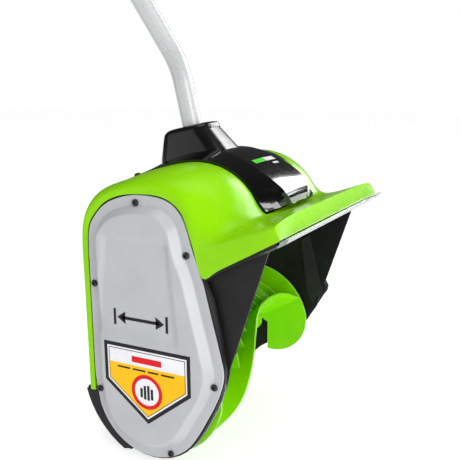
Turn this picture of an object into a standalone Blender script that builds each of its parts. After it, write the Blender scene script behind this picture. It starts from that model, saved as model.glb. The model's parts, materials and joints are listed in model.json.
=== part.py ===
"""A cordless snow shovel: a 30 cm wide powered rotor head on a bent two-piece shaft, with an assist
handle, a rear grip and a slide-in battery pack.

Metres, +Z up. The throw side faces -Y and the belt cover is on the -X side. The origin is the middle
of the scraper's flat foot, on the ground. Side outlines are written as (forward, up) in millimetres
from the rotor's axle, which lies along X.
"""

import math

import bmesh
import bpy
from mathutils import Matrix, Vector

MM = 0.001
GAP = 0.3

# Driving dimensions, in millimetres.
AXLE_BACK = -51.0
AXLE_UP = 108.0
HALF_HEAD = 162.0
LIP_FLARE = 16.0
LIP_TIP = (192.6, 220.7)
LIP_ROOT = (79.0, 158.0)
WALL_OUT = 149.7
WALL_IN = 147.0
FRAME_IN, FRAME_OUT = 151.2, 152.4
CASE_IN = 152.7
ROTOR_R = 98.0
ROTOR_HALF = 143.0
HUB_R = 17.0
AXLE_R = 6.0
SCROLL_R = 104.0
SCROLL_REAR = 104.0
SCRAPER_R = 121.5
MOTOR = (-14.0, 176.0)
MOTOR_R = 38.0
BIG_PULLEY_R = 36.0
SMALL_PULLEY_R = 12.0
IDLER_R = 11.0
BELT_T = 2.4
TUBE_R = 14.0
BEND = (-43.7, 415.1)
LOWER_LEAN = math.radians(12.7)
UPPER_LEAN = math.radians(33.7)
BEND_R = 130.0
COUPLER_FROM, COUPLER_TO = 140.0, 206.0
SPLIT_AT = 172.0
ASSIST_AT = 285.0
HANDLE_AT = 375.0
TUBE_END = 425.0

# The belt cover's outline: a round lobe under the axle, straight rear and slanted front edges that share
# their levels, and a rounded top.
LOBE_CENTRE = (-4.0, -16.0)
LOBE_R = 83.0
LOBE_FROM = math.radians(-168)
LOBE_TO = math.radians(-38)
COVER_REAR = -89.0
FRONT_LOWER = [(75, -46), (90, -18)]
COVER_FRONT = [
    (98, 0), (104, 17), (107.6, 31), (108, 42), (106, 53), (99.3, 80), (92.5, 106), (85.7, 133), (78.5, 160),
]
COVER_TOP = [
    (66, 194), (60, 214), (52, 233), (38, 247), (18, 253.5), (-12, 254.5), (-36, 250), (-58, 241), (-75, 226),
    (-86, 208), (-89, 180),
]
COVER_T = 2.2
COVER_SCREWS = [(-11.8, 246.5), (61.0, 186.0), (-83.2, 132.7), (-82.5, -17.1), (97.4, 20.8), (29.7, -87.0)]

# The green housing's outer surface, as matching points from the rear foot over the top to the lip.
HOUSING_RIM = [
    (-98, -22), (-98, 60), (-98, 130), (-98.5, 180), (-95, 212), (-82, 234), (-62, 250), (-38, 259.5),
    (-12, 263), (20, 263), (45, 255), (61, 240), (69, 217), (74, 203), (86, 198), (106, 204), (142, 218.5),
    (185, 234), (193, 221.5),
]
HOUSING_MIDDLE = [
    (-114, -24), (-115, 60), (-115.5, 130), (-115, 195), (-110, 225), (-100, 246), (-86, 258), (-58, 268),
    (-28, 279), (8, 288), (40, 290), (68, 284), (92, 271), (108, 255), (120, 237), (132, 228), (152, 231),
    (187, 243), (193, 221.5),
]
HOUSING_INNER_EDGE = [
    (-92.6, -22), (-92.6, 60), (-92.6, 130), (-92.6, 178), (-89.4, 210), (-77.5, 228.6), (-60, 244.2),
    (-37, 253.6), (-12, 257), (19, 257), (40, 250.4), (55, 236.5), (63.5, 215), (70, 195), (82.6, 160),
    (107, 173.5), (142, 192.8), (180, 213.8), (191, 219.8),
]
HOUSING_T = 2.5
FULL_DOME_X = 92.0

# The motor cover's edge and its raised middle panel, as matching points from rear to front.
MOTOR_COVER_HALF = 80.0
COVER_EDGE = [
    (-83.4, 258.6), (-58, 268.6), (-28, 279.6), (8, 288.6), (40, 290.6), (68, 284.6), (92, 271.8),
    (108, 255.8), (119, 240.5), (128, 230.5),
]
COVER_PANEL = [
    (-83.4, 259.6), (-60, 275), (-28, 288), (10, 296.5), (46, 298), (74, 290), (104, 276), (130, 258),
    (136.5, 246), (139, 234),
]
PANEL_HALF = 34.0


def arc(centre, radius, start, stop, count):
    """Points on an arc from start to stop, in radians, both ends included."""
    step = (stop - start) / (count - 1)
    return [
        (centre[0] + radius * math.cos(start + i * step), centre[1] + radius * math.sin(start + i * step))
        for i in range(count)
    ]


def place(x, forward, up):
    """The world point, in metres, of a point given in millimetres from the axle."""
    return Vector((x * MM, -(forward - AXLE_BACK) * MM, (up + AXLE_UP) * MM))


def along_upper(distance, off=0.0):
    """A (forward, up) point on the upper shaft's line, and off it towards its upper front side."""
    lean = UPPER_LEAN
    return (
        BEND[0] - distance * math.sin(lean) + off * math.cos(lean),
        BEND[1] + distance * math.cos(lean) + off * math.sin(lean),
    )


def handle_points(points):
    """Handle outlines are written along the shaft from the handle's front end, and off the shaft."""
    return [along_upper(HANDLE_AT + along, off) for along, off in points]


def inset(points, distance):
    """A closed anticlockwise outline moved inwards by the same distance all round."""
    moved = []
    count = len(points)
    for i, point in enumerate(points):
        before = Vector(points[i - 1])
        here = Vector(point)
        after = Vector(points[(i + 1) % count])
        into = (here - before).normalized()
        out = (after - here).normalized()
        normal_in = Vector((-into.y, into.x))
        normal_out = Vector((-out.y, out.x))
        middle = (normal_in + normal_out).normalized()
        stretch = 1.0 / max(0.5, middle.dot(normal_in))
        moved.append(tuple(here + middle * distance * stretch))
    return moved


def cover_outline():
    """The belt cover's outline, anticlockwise from the rear of its lower lobe."""
    rear = [(COVER_REAR, level) for _, level in reversed(COVER_FRONT)]
    return lobe(0.0) + FRONT_LOWER + COVER_FRONT + COVER_TOP + rear


def lobe(grow, start=LOBE_FROM):
    """The arc under the axle, grown outwards."""
    return arc(LOBE_CENTRE, LOBE_R + grow, start, LOBE_TO, 14)


def belt_loop(extra):
    """The open belt's outline around both pulleys, extra millimetres off their rims."""
    big, small = BIG_PULLEY_R + extra, SMALL_PULLEY_R + extra
    reach = Vector(MOTOR)
    heading = math.atan2(reach.y, reach.x)
    spread = math.acos((big - small) / reach.length)
    lower = arc((0, 0), big, heading + spread, heading + 2 * math.pi - spread, 26)
    return lower + arc(MOTOR, small, heading - spread, heading + spread, 12)


# Scene set-up and modelling helpers.


def new_collection(name):
    made = bpy.data.collections.new(name)
    bpy.context.scene.collection.children.link(made)
    return made


def clear_scene():
    for obj in list(bpy.data.objects):
        bpy.data.objects.remove(obj, do_unlink=True)


clear_scene()
PARTS = new_collection("cordless_snow_shovel")
CUTTERS = new_collection("cutters")


def material(name, colour, roughness, metallic=0.0, alpha=1.0):
    made = bpy.data.materials.new(name)
    made.use_nodes = True
    shader = made.node_tree.nodes["Principled BSDF"]
    shader.inputs["Base Color"].default_value = (*colour, 1.0)
    shader.inputs["Roughness"].default_value = roughness
    shader.inputs["Metallic"].default_value = metallic
    shader.inputs["Alpha"].default_value = alpha
    return made


GREEN = material("green_plastic", (0.27, 0.75, 0.0), 0.35)
ROTOR_GREEN = material("rotor_plastic", (0.18, 0.6, 0.0), 0.4)
BLACK = material("black_plastic", (0.02, 0.02, 0.022), 0.55)
GLOSS = material("gloss_black_plastic", (0.006, 0.006, 0.007), 0.12)
GREY = material("grey_cover_plastic", (0.66, 0.67, 0.7), 0.4)
CLEAR = material("clear_plastic", (0.85, 0.87, 0.88), 0.08, alpha=0.4)
TUBE_PAINT = material("tube_paint", (0.72, 0.73, 0.73), 0.3)
STEEL = material("steel", (0.5, 0.5, 0.52), 0.35, 1.0)
BLACK_STEEL = material("black_steel", (0.03, 0.03, 0.03), 0.35, 1.0)
RUBBER = material("rubber", (0.015, 0.015, 0.015), 0.8)
BRASS = material("brass", (0.7, 0.5, 0.2), 0.35, 1.0)
BOARD = material("circuit_board", (0.02, 0.16, 0.06), 0.5)


def smooth(mesh, angle=40):
    mesh.shade_smooth()
    mesh.set_sharp_from_angle(angle=math.radians(angle))


def add(name, mesh, paint):
    made = bpy.data.objects.new(name, mesh)
    PARTS.objects.link(made)
    made.data.materials.append(paint)
    return made


def mesh_from_curve(name, curve, matrix):
    """A curve object's evaluated shape as a welded mesh in world space."""
    holder = bpy.data.objects.new(name, curve)
    PARTS.objects.link(holder)
    holder.matrix_world = matrix
    bpy.context.view_layer.update()
    made = bpy.data.meshes.new_from_object(holder.evaluated_get(bpy.context.evaluated_depsgraph_get()))
    made.transform(holder.matrix_world)
    bpy.data.objects.remove(holder, do_unlink=True)
    work = bmesh.new()
    work.from_mesh(made)
    bmesh.ops.remove_doubles(work, verts=work.verts, dist=0.00001)
    bmesh.ops.recalc_face_normals(work, faces=work.faces)
    work.to_mesh(made)
    work.free()
    return made


def side_plate(name, outline, x_from, x_to, paint, holes=()):
    """A flat piece: a side outline in millimetres, extruded along X between two places."""
    curve = bpy.data.curves.new(name, "CURVE")
    curve.dimensions = "2D"
    curve.fill_mode = "BOTH"
    curve.extrude = abs(x_to - x_from) / 2 * MM
    for ring in [outline, *holes]:
        spline = curve.splines.new("POLY")
        spline.points.add(len(ring) - 1)
        for point, (forward, up) in zip(spline.points, ring):
            spot = place(0, forward, up)
            point.co = (spot.y, spot.z, 0, 1)
        spline.use_cyclic_u = True
    turn = Matrix(((0, 0, 1, 0), (1, 0, 0, 0), (0, 1, 0, 0), (0, 0, 0, 1)))
    shift = Matrix.Translation(((x_from + x_to) / 2 * MM, 0, 0))
    made = add(name, mesh_from_curve(name, curve, shift @ turn), paint)
    smooth(made.data, 25)
    return made


def x_cylinder(name, centre, radius, x_from, x_to, paint, sides=24, end_radius=None):
    """A cylinder or cone along X, at a (forward, up) place."""
    mesh = bpy.data.meshes.new(name)
    work = bmesh.new()
    bmesh.ops.create_cone(
        work, cap_ends=True, segments=sides, radius1=radius * MM,
        radius2=(radius if end_radius is None else end_radius) * MM, depth=abs(x_to - x_from) * MM,
    )
    work.to_mesh(mesh)
    work.free()
    turn = Matrix(((0, 0, 1, 0), (0, 1, 0, 0), (-1, 0, 0, 0), (0, 0, 0, 1)))
    middle = place((x_from + x_to) / 2, *centre)
    mesh.transform(turn)
    made = add(name, mesh, paint)
    made.location = middle
    smooth(mesh)
    return made


def turned(name, profile, spot, axis, paint, steps=24):
    """A turned piece: a (radius, height) profile in millimetres, outer side top to bottom."""
    mesh = bpy.data.meshes.new(name)
    points = [Vector((radius * MM, 0, height * MM)) for radius, height in profile]
    mesh.from_pydata(points, [(i, i + 1) for i in range(len(points) - 1)], [])
    made = add(name, mesh, paint)
    made.location = spot
    made.rotation_euler = Vector((0, 0, 1)).rotation_difference(Vector(axis)).to_euler()
    screw = made.modifiers.new("turn", "SCREW")
    screw.axis = "Z"
    screw.steps = steps
    screw.render_steps = steps
    screw.use_merge_vertices = True
    screw.merge_threshold = 0.00001
    return made


def ring_profile(outer, inner, half):
    """The closed profile of a plain ring."""
    return [(outer, half), (outer, -half), (inner, -half), (inner, half), (outer, half)]


def rod(name, points, radius, paint, sides=4, bore=None):
    """A round rod or pipe along (x, forward, up) points in millimetres."""
    curve = bpy.data.curves.new(name, "CURVE")
    curve.dimensions = "3D"
    curve.bevel_depth = radius * MM
    curve.bevel_resolution = sides
    curve.use_fill_caps = True
    spline = curve.splines.new("POLY")
    spline.points.add(len(points) - 1)
    for point, (x, forward, up) in zip(spline.points, points):
        point.co = (*place(x, forward, up), 1)
    made = add(name, mesh_from_curve(name, curve, Matrix.Identity(4)), paint)
    smooth(made.data)
    if bore:
        first, last = Vector(points[0]), Vector(points[-1])
        start = first - (Vector(points[1]) - first).normalized()
        end = last + (last - Vector(points[-2])).normalized()
        cut(made, rod(name + "_bore", [tuple(start), *points[1:-1], tuple(end)], bore, paint, sides))
    return made


def loft(name, rows, paint):
    """An open sheet through rows of points given as (x, forward, up) in millimetres."""
    width = len(rows[0])
    points = [place(*point) for row in rows for point in row]
    faces = [
        (r * width + c, r * width + c + 1, (r + 1) * width + c + 1, (r + 1) * width + c)
        for r in range(len(rows) - 1)
        for c in range(width - 1)
    ]
    mesh = bpy.data.meshes.new(name)
    mesh.from_pydata(points, [], faces)
    made = add(name, mesh, paint)
    smooth(mesh)
    return made


def closed_loft(name, rings, paint):
    """A solid through closed rings of (x, forward, up) points, capped at both ends."""
    count = len(rings[0])
    points = [place(*point) for ring in rings for point in ring]
    faces = [tuple(reversed(range(count))), tuple(range(len(points) - count, len(points)))]
    for r in range(len(rings) - 1):
        for c in range(count):
            after = (c + 1) % count
            faces.append((r * count + c, r * count + after, (r + 1) * count + after, (r + 1) * count + c))
    mesh = bpy.data.meshes.new(name)
    mesh.from_pydata(points, [], faces)
    work = bmesh.new()
    work.from_mesh(mesh)
    bmesh.ops.recalc_face_normals(work, faces=work.faces)
    work.to_mesh(mesh)
    work.free()
    made = add(name, mesh, paint)
    smooth(mesh, 30)
    return made


def thicken(obj, thickness, offset=-1.0):
    shell = obj.modifiers.new("wall", "SOLIDIFY")
    shell.thickness = thickness * MM
    shell.offset = offset
    shell.use_even_offset = True


def as_tool(tool):
    """Moves an object that only cuts or joins into the cutters' collection."""
    PARTS.objects.unlink(tool)
    CUTTERS.objects.link(tool)
    tool.hide_render = True
    tool.display_type = "WIRE"


def combine(obj, tool, operation, solver="EXACT"):
    change = obj.modifiers.new(operation.lower(), "BOOLEAN")
    change.operation = operation
    change.object = tool
    change.solver = solver
    as_tool(tool)


def cut(obj, *tools, solver="EXACT"):
    for tool in tools:
        combine(obj, tool, "DIFFERENCE", solver)


def join(obj, *tools, solver="EXACT"):
    for tool in tools:
        combine(obj, tool, "UNION", solver)


def round_edges(obj, width, segments=1, angle=40):
    edge = obj.modifiers.new("edges", "BEVEL")
    edge.width = width * MM
    edge.segments = segments
    edge.limit_method = "ANGLE"
    edge.angle_limit = math.radians(angle)
    edge.use_clamp_overlap = True


def rectangle(low, high):
    return [low, (high[0], low[1]), high, (low[0], high[1])]


# The head's housing.


def blend(a, b, t):
    return [(p[0] + (q[0] - p[0]) * t, p[1] + (q[1] - p[1]) * t) for p, q in zip(a, b)]


def flare(forward):
    """How far the lip stands out past the head's side, at a place along its side edge."""
    share = (forward - LIP_ROOT[0]) / (LIP_TIP[0] - LIP_ROOT[0])
    return LIP_FLARE * min(1.0, max(0.0, share))


def housing_row(x):
    """The outer surface's points at one place across the head."""
    side = 1 if x >= 0 else -1
    reach = abs(x)
    share = min(1.0, (HALF_HEAD - reach) / (HALF_HEAD - FULL_DOME_X))
    rise = math.sqrt(1 - (1 - share) ** 2)
    profile = blend(HOUSING_RIM, HOUSING_MIDDLE, rise)
    return [(side * (reach + flare(f) * reach / HALF_HEAD), f, u) for f, u in profile]


def build_housing():
    stations = [0, 30, 60, 80, FULL_DOME_X, 112, 130, 144, 154, 159.5, HALF_HEAD]
    rows = [housing_row(x) for x in stations]
    rows.append([(HALF_HEAD - 0.8 + flare(f), f, u) for f, u in HOUSING_INNER_EDGE])
    left = rows[1:]
    right = [[(-x, f, u) for x, f, u in row] for row in reversed(left)]
    housing = loft("upper_housing", right + rows, GREEN)
    thicken(housing, HOUSING_T, -1.0)
    bay_half = MOTOR_COVER_HALF + GAP
    cut(housing, side_plate("motor_bay_cut", rectangle((-84.8, 200), (130, 360)), -bay_half, bay_half, GREEN))


def build_motor_cover():
    edge_x = MOTOR_COVER_HALF - 1.0
    shares = [(edge_x, 0.0), (72, 0.16), (58, 0.42), (PANEL_HALF + 8, 0.72), (PANEL_HALF, 1.0)]
    rows = [
        [(x, f, u) for f, u in blend(COVER_EDGE, COVER_PANEL, share)] for x, share in shares
    ]
    rows.append([(0, f, u + 0.8) for f, u in COVER_PANEL])
    mirrored = [[(-x, f, u) for x, f, u in row] for row in rows[:-1]]
    cover = loft("motor_cover", mirrored + list(reversed(rows)), GLOSS)
    thicken(cover, HOUSING_T, 1.0)
    hole = closed_loft("socket_hole_cut", [socket_ring(235, GAP), socket_ring(335, GAP)], GLOSS)
    cut(cover, hole)


SOCKET_CENTRE = (-4.0, 44.0)
SOCKET_HALF = (61.0, 38.0)
SOCKET_TOP_HALF = (35.0, 27.0)


def rounded_ring(centre, half, corner, count=4):
    """A rounded rectangle as (forward, x) points, anticlockwise."""
    points = []
    for quarter, (a, b) in enumerate([(1, 1), (-1, 1), (-1, -1), (1, -1)]):
        middle = (centre + a * (half[0] - corner), b * (half[1] - corner))
        start = quarter * math.pi / 2
        points += arc(middle, corner, start, start + math.pi / 2, count)
    return points


def socket_ring(up, grow=0.0):
    """The socket's foot section, at a level."""
    half = (SOCKET_HALF[0] + grow, SOCKET_HALF[1] + grow)
    return [(x, f, up) for f, x in rounded_ring(SOCKET_CENTRE[0], half, 24 + grow)]


def lower_line(up):
    """The lower shaft's (forward, up) at a level below the bend."""
    return (BEND[0] + (BEND[1] - up) * math.tan(LOWER_LEAN), up)


def build_socket():
    top_up = 331.0
    middle = lower_line(top_up)[0]
    lean = math.tan(LOWER_LEAN)

    def section(level, grow, half_long, half_wide, corner, centre):
        ring = rounded_ring(centre, (half_long + grow, half_wide + grow), corner)
        return [(x, f, level + (f - centre) * lean) for f, x in ring]

    rings = [
        socket_ring(256),
        socket_ring(284),
        section(322, 0, 38, 29, 20, middle - 1),
        section(328, 0, 36, 27, 19, middle),
        section(top_up, 0, 31, 22, 16, middle),
    ]
    socket = closed_loft("tube_socket", rings, GLOSS)
    low, high = lower_line(250), lower_line(345)
    cut(socket, rod("socket_bore_cut", [(0, *low), (0, *high)], TUBE_R + GAP, GLOSS, 6))


def build_liner():
    """The scroll behind the rotor and the roof that runs forward under the lip's root."""
    turn = [math.radians(a) for a in range(207, 79, -8)]
    growth = (SCRAPER_R - 6.6 - SCROLL_R) / (turn[0] - turn[-1])
    radii = [SCROLL_R + growth * (a - turn[-1]) for a in turn]
    profile = [(max(r * math.cos(a), -SCROLL_REAR), r * math.sin(a)) for r, a in zip(radii, turn)]
    profile.append((76.0, 153.0))
    rows = [[(x, f, u) for f, u in profile] for x in (-WALL_IN + GAP, WALL_IN - GAP)]
    liner = loft("intake_liner", rows, GREEN)
    thicken(liner, 2.4, -1.0)


def lip_line(forward, below=0.0):
    """A point on the lip's lower side edge, or below it."""
    slope = (LIP_TIP[1] - LIP_ROOT[1]) / (LIP_TIP[0] - LIP_ROOT[0])
    return (forward, LIP_ROOT[1] + (forward - LIP_ROOT[0]) * slope - below)


def build_lip_pieces():
    """The black backing under the lip, and the clear strip on its front edge."""
    front = 187.0
    outline = [(93, GAP * 2), (front, GAP * 2), (front, 4.0), (93, 4.0)]
    rings = []
    for side in (-1, 1):
        ring = []
        for forward, below in outline:
            x = side * (HALF_HEAD - 4 + flare(forward))
            ring.append((x, *lip_line(forward, below)))
        rings.append(ring)
    closed_loft("deflector_backing", rings, BLACK)
    strip = [
        (191.2, -GAP), (199.5, -GAP), (203.0, 2.0), (199.0, 5.6), (188.5, 5.6), (188.5, 3.0), (191.2, 2.4),
    ]
    half = HALF_HEAD + LIP_FLARE - 1.5
    rings = [[(x, *lip_line(forward, below + 1.2)) for forward, below in strip] for x in (-half, half)]
    closed_loft("deflector_strip", rings, CLEAR)


def left_outline(front):
    """The left side's outline, which has no lobe and is cut back from the scraper's foot to the front."""
    lower = [(-89, -30), (-84, -52), (-74, -72), (-58, -90), (-48, -94), (12, -42), (60, -10)]
    return lower + front + COVER_TOP


def wall_outline(side):
    """The side wall: the forward wing, the lower edge, the scraper's end and the part in the housing."""
    if side < 0:
        lower = lobe(3.2, math.radians(-106))
        lower += [(77.8, -47.4), (92.9, -19), (101.2, 0), (107.3, 17), (111, 33)]
    else:
        lower = [(-46, -102.5), (13, -47.5), (62, -16), (95, 12), (112, 38)]
    rear = arc((0, 0), SCRAPER_R, math.radians(-166), math.radians(-117.6), 9)
    inside = [
        (80, 150), (66, 190), (58, 214), (49, 232), (37, 243), (17, 249.5), (-12, 250), (-36, 246.5),
        (-57, 237), (-72, 224), (-82, 206), (-88, 177), (-88, -20),
    ]
    wing = [(112.5, 43), (166.2, 200.3), lip_line(84, 5.2)]
    return lower + wing + inside + rear


def round_hole(centre, radius, count=24):
    """A round hole's points, clockwise."""
    step = 2 * math.pi / count
    return [
        (centre[0] + radius * math.cos(step * i), centre[1] - radius * math.sin(step * i))
        for i in range(count)
    ]


def build_walls():
    """On each side: the black wall with its wing, and the steel frame plate that carries the bearing."""
    for side, word in ((-1, "right"), (1, "left")):
        holes = [round_hole((0, 0), 16.0 + GAP)]
        if side < 0:
            holes.append(round_hole(MOTOR, 17.0, 20))
        wall = side_plate(
            f"{word}_side_wall", wall_outline(side), side * WALL_IN, side * WALL_OUT, BLACK, holes,
        )
        rib = [(84, 145), (98, 153), (121, 66), (105, 42), (96, 60)]
        join(wall, side_plate(f"{word}_wall_rib", rib, side * (WALL_IN - 3), side * (WALL_IN + 1), BLACK))
        if side < 0:
            plate = inset(cover_outline(), -1.2)
            plate = [(f + 3.6 * ease((30 - u) / 20) * ease((f - 20) / 40), u) for f, u in plate]
        else:
            plate = left_outline([(88, 12), (101, 33)] + COVER_FRONT[4:])
        side_plate(f"{word}_frame_plate", plate, side * FRAME_IN, side * FRAME_OUT, STEEL, holes)


def case_outline():
    """The cases' outline: the cover's, a little larger all round and more so at the front of its top."""
    outer = inset(cover_outline(), -2.8)
    return [(f + 5.0 * ease((u - 30) / 70) * ease((158 - u) / 12) * ease((f - 50) / 15), u) for f, u in outer]


def build_side_cases():
    """The belt case behind the grey cover, and its plain counterpart on the other side."""
    inner = inset(cover_outline(), 13.0)
    back = side_plate("belt_case", case_outline(), -CASE_IN, -CASE_IN - 2.4, BLACK)
    rim = side_plate("belt_case_rim", case_outline(), -CASE_IN - 2.0, -158.7, BLACK, [list(reversed(inner))])
    join(back, rim)
    cut(back, x_cylinder("case_axle_cut", (0, 0), 17, -157, -148, BLACK, 20))
    cut(back, x_cylinder("case_motor_cut", MOTOR, 17, -157, -148, BLACK, 20))
    for number, spot in enumerate(COVER_SCREWS, 1):
        cut(back, x_cylinder(f"case_screw_cut_{number}", spot, 2.3, -160, -153.8, BLACK, 8))
    corner = [(90, 9), (119, 57), (124, 64), (125.5, 71), (122.5, 77), (112, 88)]
    outline = inset(left_outline(corner + COVER_FRONT[6:]), -2.0)
    other = side_plate("left_side_case", outline, CASE_IN, 160.5, BLACK)
    round_edges(other, 2.5, 1)
    hollow = [
        (-76, -20), (-60, -60), (-45, -74), (8, -28), (54, 0), (84, 28), (88, 80), (66, 165), (44, 222),
        (18, 239), (-12, 240), (-46, 230), (-70, 208), (-76, 180),
    ]
    cut(other, side_plate("left_case_hollow_cut", hollow, 149, 157.5, BLACK))


SPINE_TOP = 160.0


def spine_point(point):
    """The place on the line from the axle to the middle of the cover's upper part, at the same level."""
    level = min(SPINE_TOP, max(0.0, point[1]))
    return (-6.0 * level / SPINE_TOP, level)


def ease(value):
    """A smooth step from 0 to 1."""
    value = min(1.0, max(0.0, value))
    return value * value * (3 - 2 * value)


def cover_rise(f, u, edge):
    """How far the cover's face stands out: a raised field, with a shallow pocket in its upper part."""
    field = 12.0 * ease((edge - 12.0) / 12.0)
    across = (f + 10 + (200 - u) * 0.02) / (52 + (200 - u) * 0.12)
    pocket_side = ease((1.0 - abs(across)) * 5.0)
    pocket_ends = ease((206 - u) / 10.0) * ease((u - 62) / 20.0)
    return field - 3.5 * pocket_side * pocket_ends


def cover_row(outline, depth, x_at):
    """The outline's points moved towards the cover's spine, each at the x that x_at gives its place."""
    row = []
    for f, u in outline:
        hub = spine_point((f, u))
        away = math.hypot(f - hub[0], u - hub[1])
        share = (away - depth) / away if depth < 90 else 0.0
        spot = (hub[0] + (f - hub[0]) * share, hub[1] + (u - hub[1]) * share)
        row.append((x_at(*spot, depth), *spot))
    return row


def build_belt_cover():
    """A shell with a flat flange, a sloped border, a raised field and a shallow pocket."""
    outline = cover_outline()
    foot = -159.2

    def outer(f, u, depth):
        return -HALF_HEAD - cover_rise(f, u, depth)

    def inner(f, u, depth):
        return foot if depth <= 12 else outer(f, u, depth) + COVER_T

    depths = [12, 16, 20, 24, 32, 45, 99]
    rows = [cover_row(outline, depth, inner) for depth in reversed(depths)]
    rows.append(cover_row(outline, 0, lambda f, u, depth: foot))
    rows.append(cover_row(outline, 0, lambda f, u, depth: 1.0 - HALF_HEAD))
    rows.append(cover_row(outline, 1.2, lambda f, u, depth: -HALF_HEAD))
    rows += [cover_row(outline, depth, outer) for depth in depths]
    rows = [row + [row[0]] for row in rows]
    cover = loft("belt_cover", rows, GREY)
    work = bmesh.new()
    work.from_mesh(cover.data)
    bmesh.ops.remove_doubles(work, verts=work.verts, dist=0.00001)
    bmesh.ops.recalc_face_normals(work, faces=work.faces)
    work.to_mesh(cover.data)
    work.free()
    for number, spot in enumerate(COVER_SCREWS, 1):
        cut(cover, x_cylinder(f"cover_screw_cut_{number}", spot, 2.3, -166, -155, GREY, 8), solver="MANIFOLD")


def build_cover_screws():
    for number, (f, u) in enumerate(COVER_SCREWS, 1):
        profile = [
            (0, 1.4), (1.8, 1.4), (1.8, 2.8), (3.2, 2.6), (4.5, 1.0), (4.5, 0), (2.0, 0), (2.0, -8), (0, -8),
        ]
        turned(f"cover_screw_{number}", profile, place(-HALF_HEAD - GAP, f, u), (-1, 0, 0), BLACK_STEEL, 10)


def build_scraper():
    """The black lower scroll and scraper blade, with a flat foot on the ground."""
    outer = arc((0, 0), SCRAPER_R, math.radians(-167), math.radians(-118), 10)
    foot = [(-54, -108), (-46, -108), (-45, -104)]
    inner = arc((0, 0), SCRAPER_R - 3.6, math.radians(-116), math.radians(-167), 10)
    side_plate("scraper_bar", outer + foot + inner, -WALL_IN + GAP, WALL_IN - GAP, BLACK)


# The rotor and its drive.


def flight_angle(along):
    """The leading flight's direction, in degrees, at a place along the axle from -1 to 1."""
    steps = [
        (-1.0, -58), (-0.86, -50), (-0.66, -44), (-0.54, -28), (-0.46, -6), (-0.34, 10), (-0.2, 24),
        (0.0, 37), (0.2, 44), (0.45, 46), (0.7, 44), (0.86, 38), (1.0, 30),
    ]
    for (a, low), (b, high) in zip(steps, steps[1:]):
        if along <= b:
            return low + (high - low) * (along - a) / (b - a)
    return steps[-1][1]


def polar(x, radius, degrees):
    angle = math.radians(degrees)
    return (x, radius * math.cos(angle), radius * math.sin(angle))


def flight_sheet(name, second):
    """One S-shaped paddle, a ruled sheet from the hub to the rim."""
    count = 22
    rows = []
    for i in range(count + 1):
        along = -1 + 2 * i / count
        angle = 183 - flight_angle(-along) if second else flight_angle(along)
        x = along * (ROTOR_HALF - 1.8)
        rows.append([polar(x, radius, angle) for radius in (11, 54, ROTOR_R - 1.5)])
    sheet = loft(name, rows, ROTOR_GREEN)
    thicken(sheet, 3.4, 0.0)
    return sheet


def end_plate(name, side, turn):
    """A sector at one end of the rotor, whose lower end is rounded and cut straight."""
    lobe_centre, lobe_r = (36.0, 13.0), 60.0
    outer = arc((0, 0), ROTOR_R, math.radians(22), math.radians(82), 10)
    lower = arc(lobe_centre, lobe_r, math.radians(-98), math.radians(12), 14)
    hub = [(0, HUB_R - 3), (28, 0)]
    points = lower + outer + hub
    if side < 0:
        points = [(f, -u) for f, u in reversed(points)]
    spun = []
    for f, u in points:
        radius, angle = math.hypot(f, u), math.atan2(u, f) + math.radians(turn)
        spun.append((radius * math.cos(angle), radius * math.sin(angle)))
    x = side * ROTOR_HALF
    return side_plate(name, spun, x - side * 3.0, x, ROTOR_GREEN)


def build_rotor():
    rotor = x_cylinder("rotor", (0, 0), HUB_R, -ROTOR_HALF + 1, ROTOR_HALF - 1, ROTOR_GREEN, 28)
    pieces = [flight_sheet("flight_1", False), flight_sheet("flight_2", True)]
    pieces += [
        end_plate("end_plate_1", 1, 0), end_plate("end_plate_2", 1, 180),
        end_plate("end_plate_3", -1, 0), end_plate("end_plate_4", -1, 180),
    ]
    for half in (0, 180):
        for number, x in enumerate(range(-58, 122, 22)):
            along = x / ROTOR_HALF
            if half:
                start = 183 - flight_angle(along)
                x, sweep = -x, -1
            else:
                start, sweep = flight_angle(along), 1
            first, last = sorted((start - 2 * sweep, start + 62 * sweep))
            sector = arc((0, 0), 78.0, math.radians(first), math.radians(last), 7)
            hub = arc((0, 0), HUB_R - 4, math.radians(last), math.radians(first), 3)
            pieces.append(side_plate(f"rib_{half}_{number}", sector + hub, x - 1.3, x + 1.3, ROTOR_GREEN))
    join(rotor, *pieces, solver="MANIFOLD")
    bore = x_cylinder("rotor_bore_cut", (0, 0), AXLE_R + GAP, -160, 160, ROTOR_GREEN, 20)
    cut(rotor, bore, solver="MANIFOLD")


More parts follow.
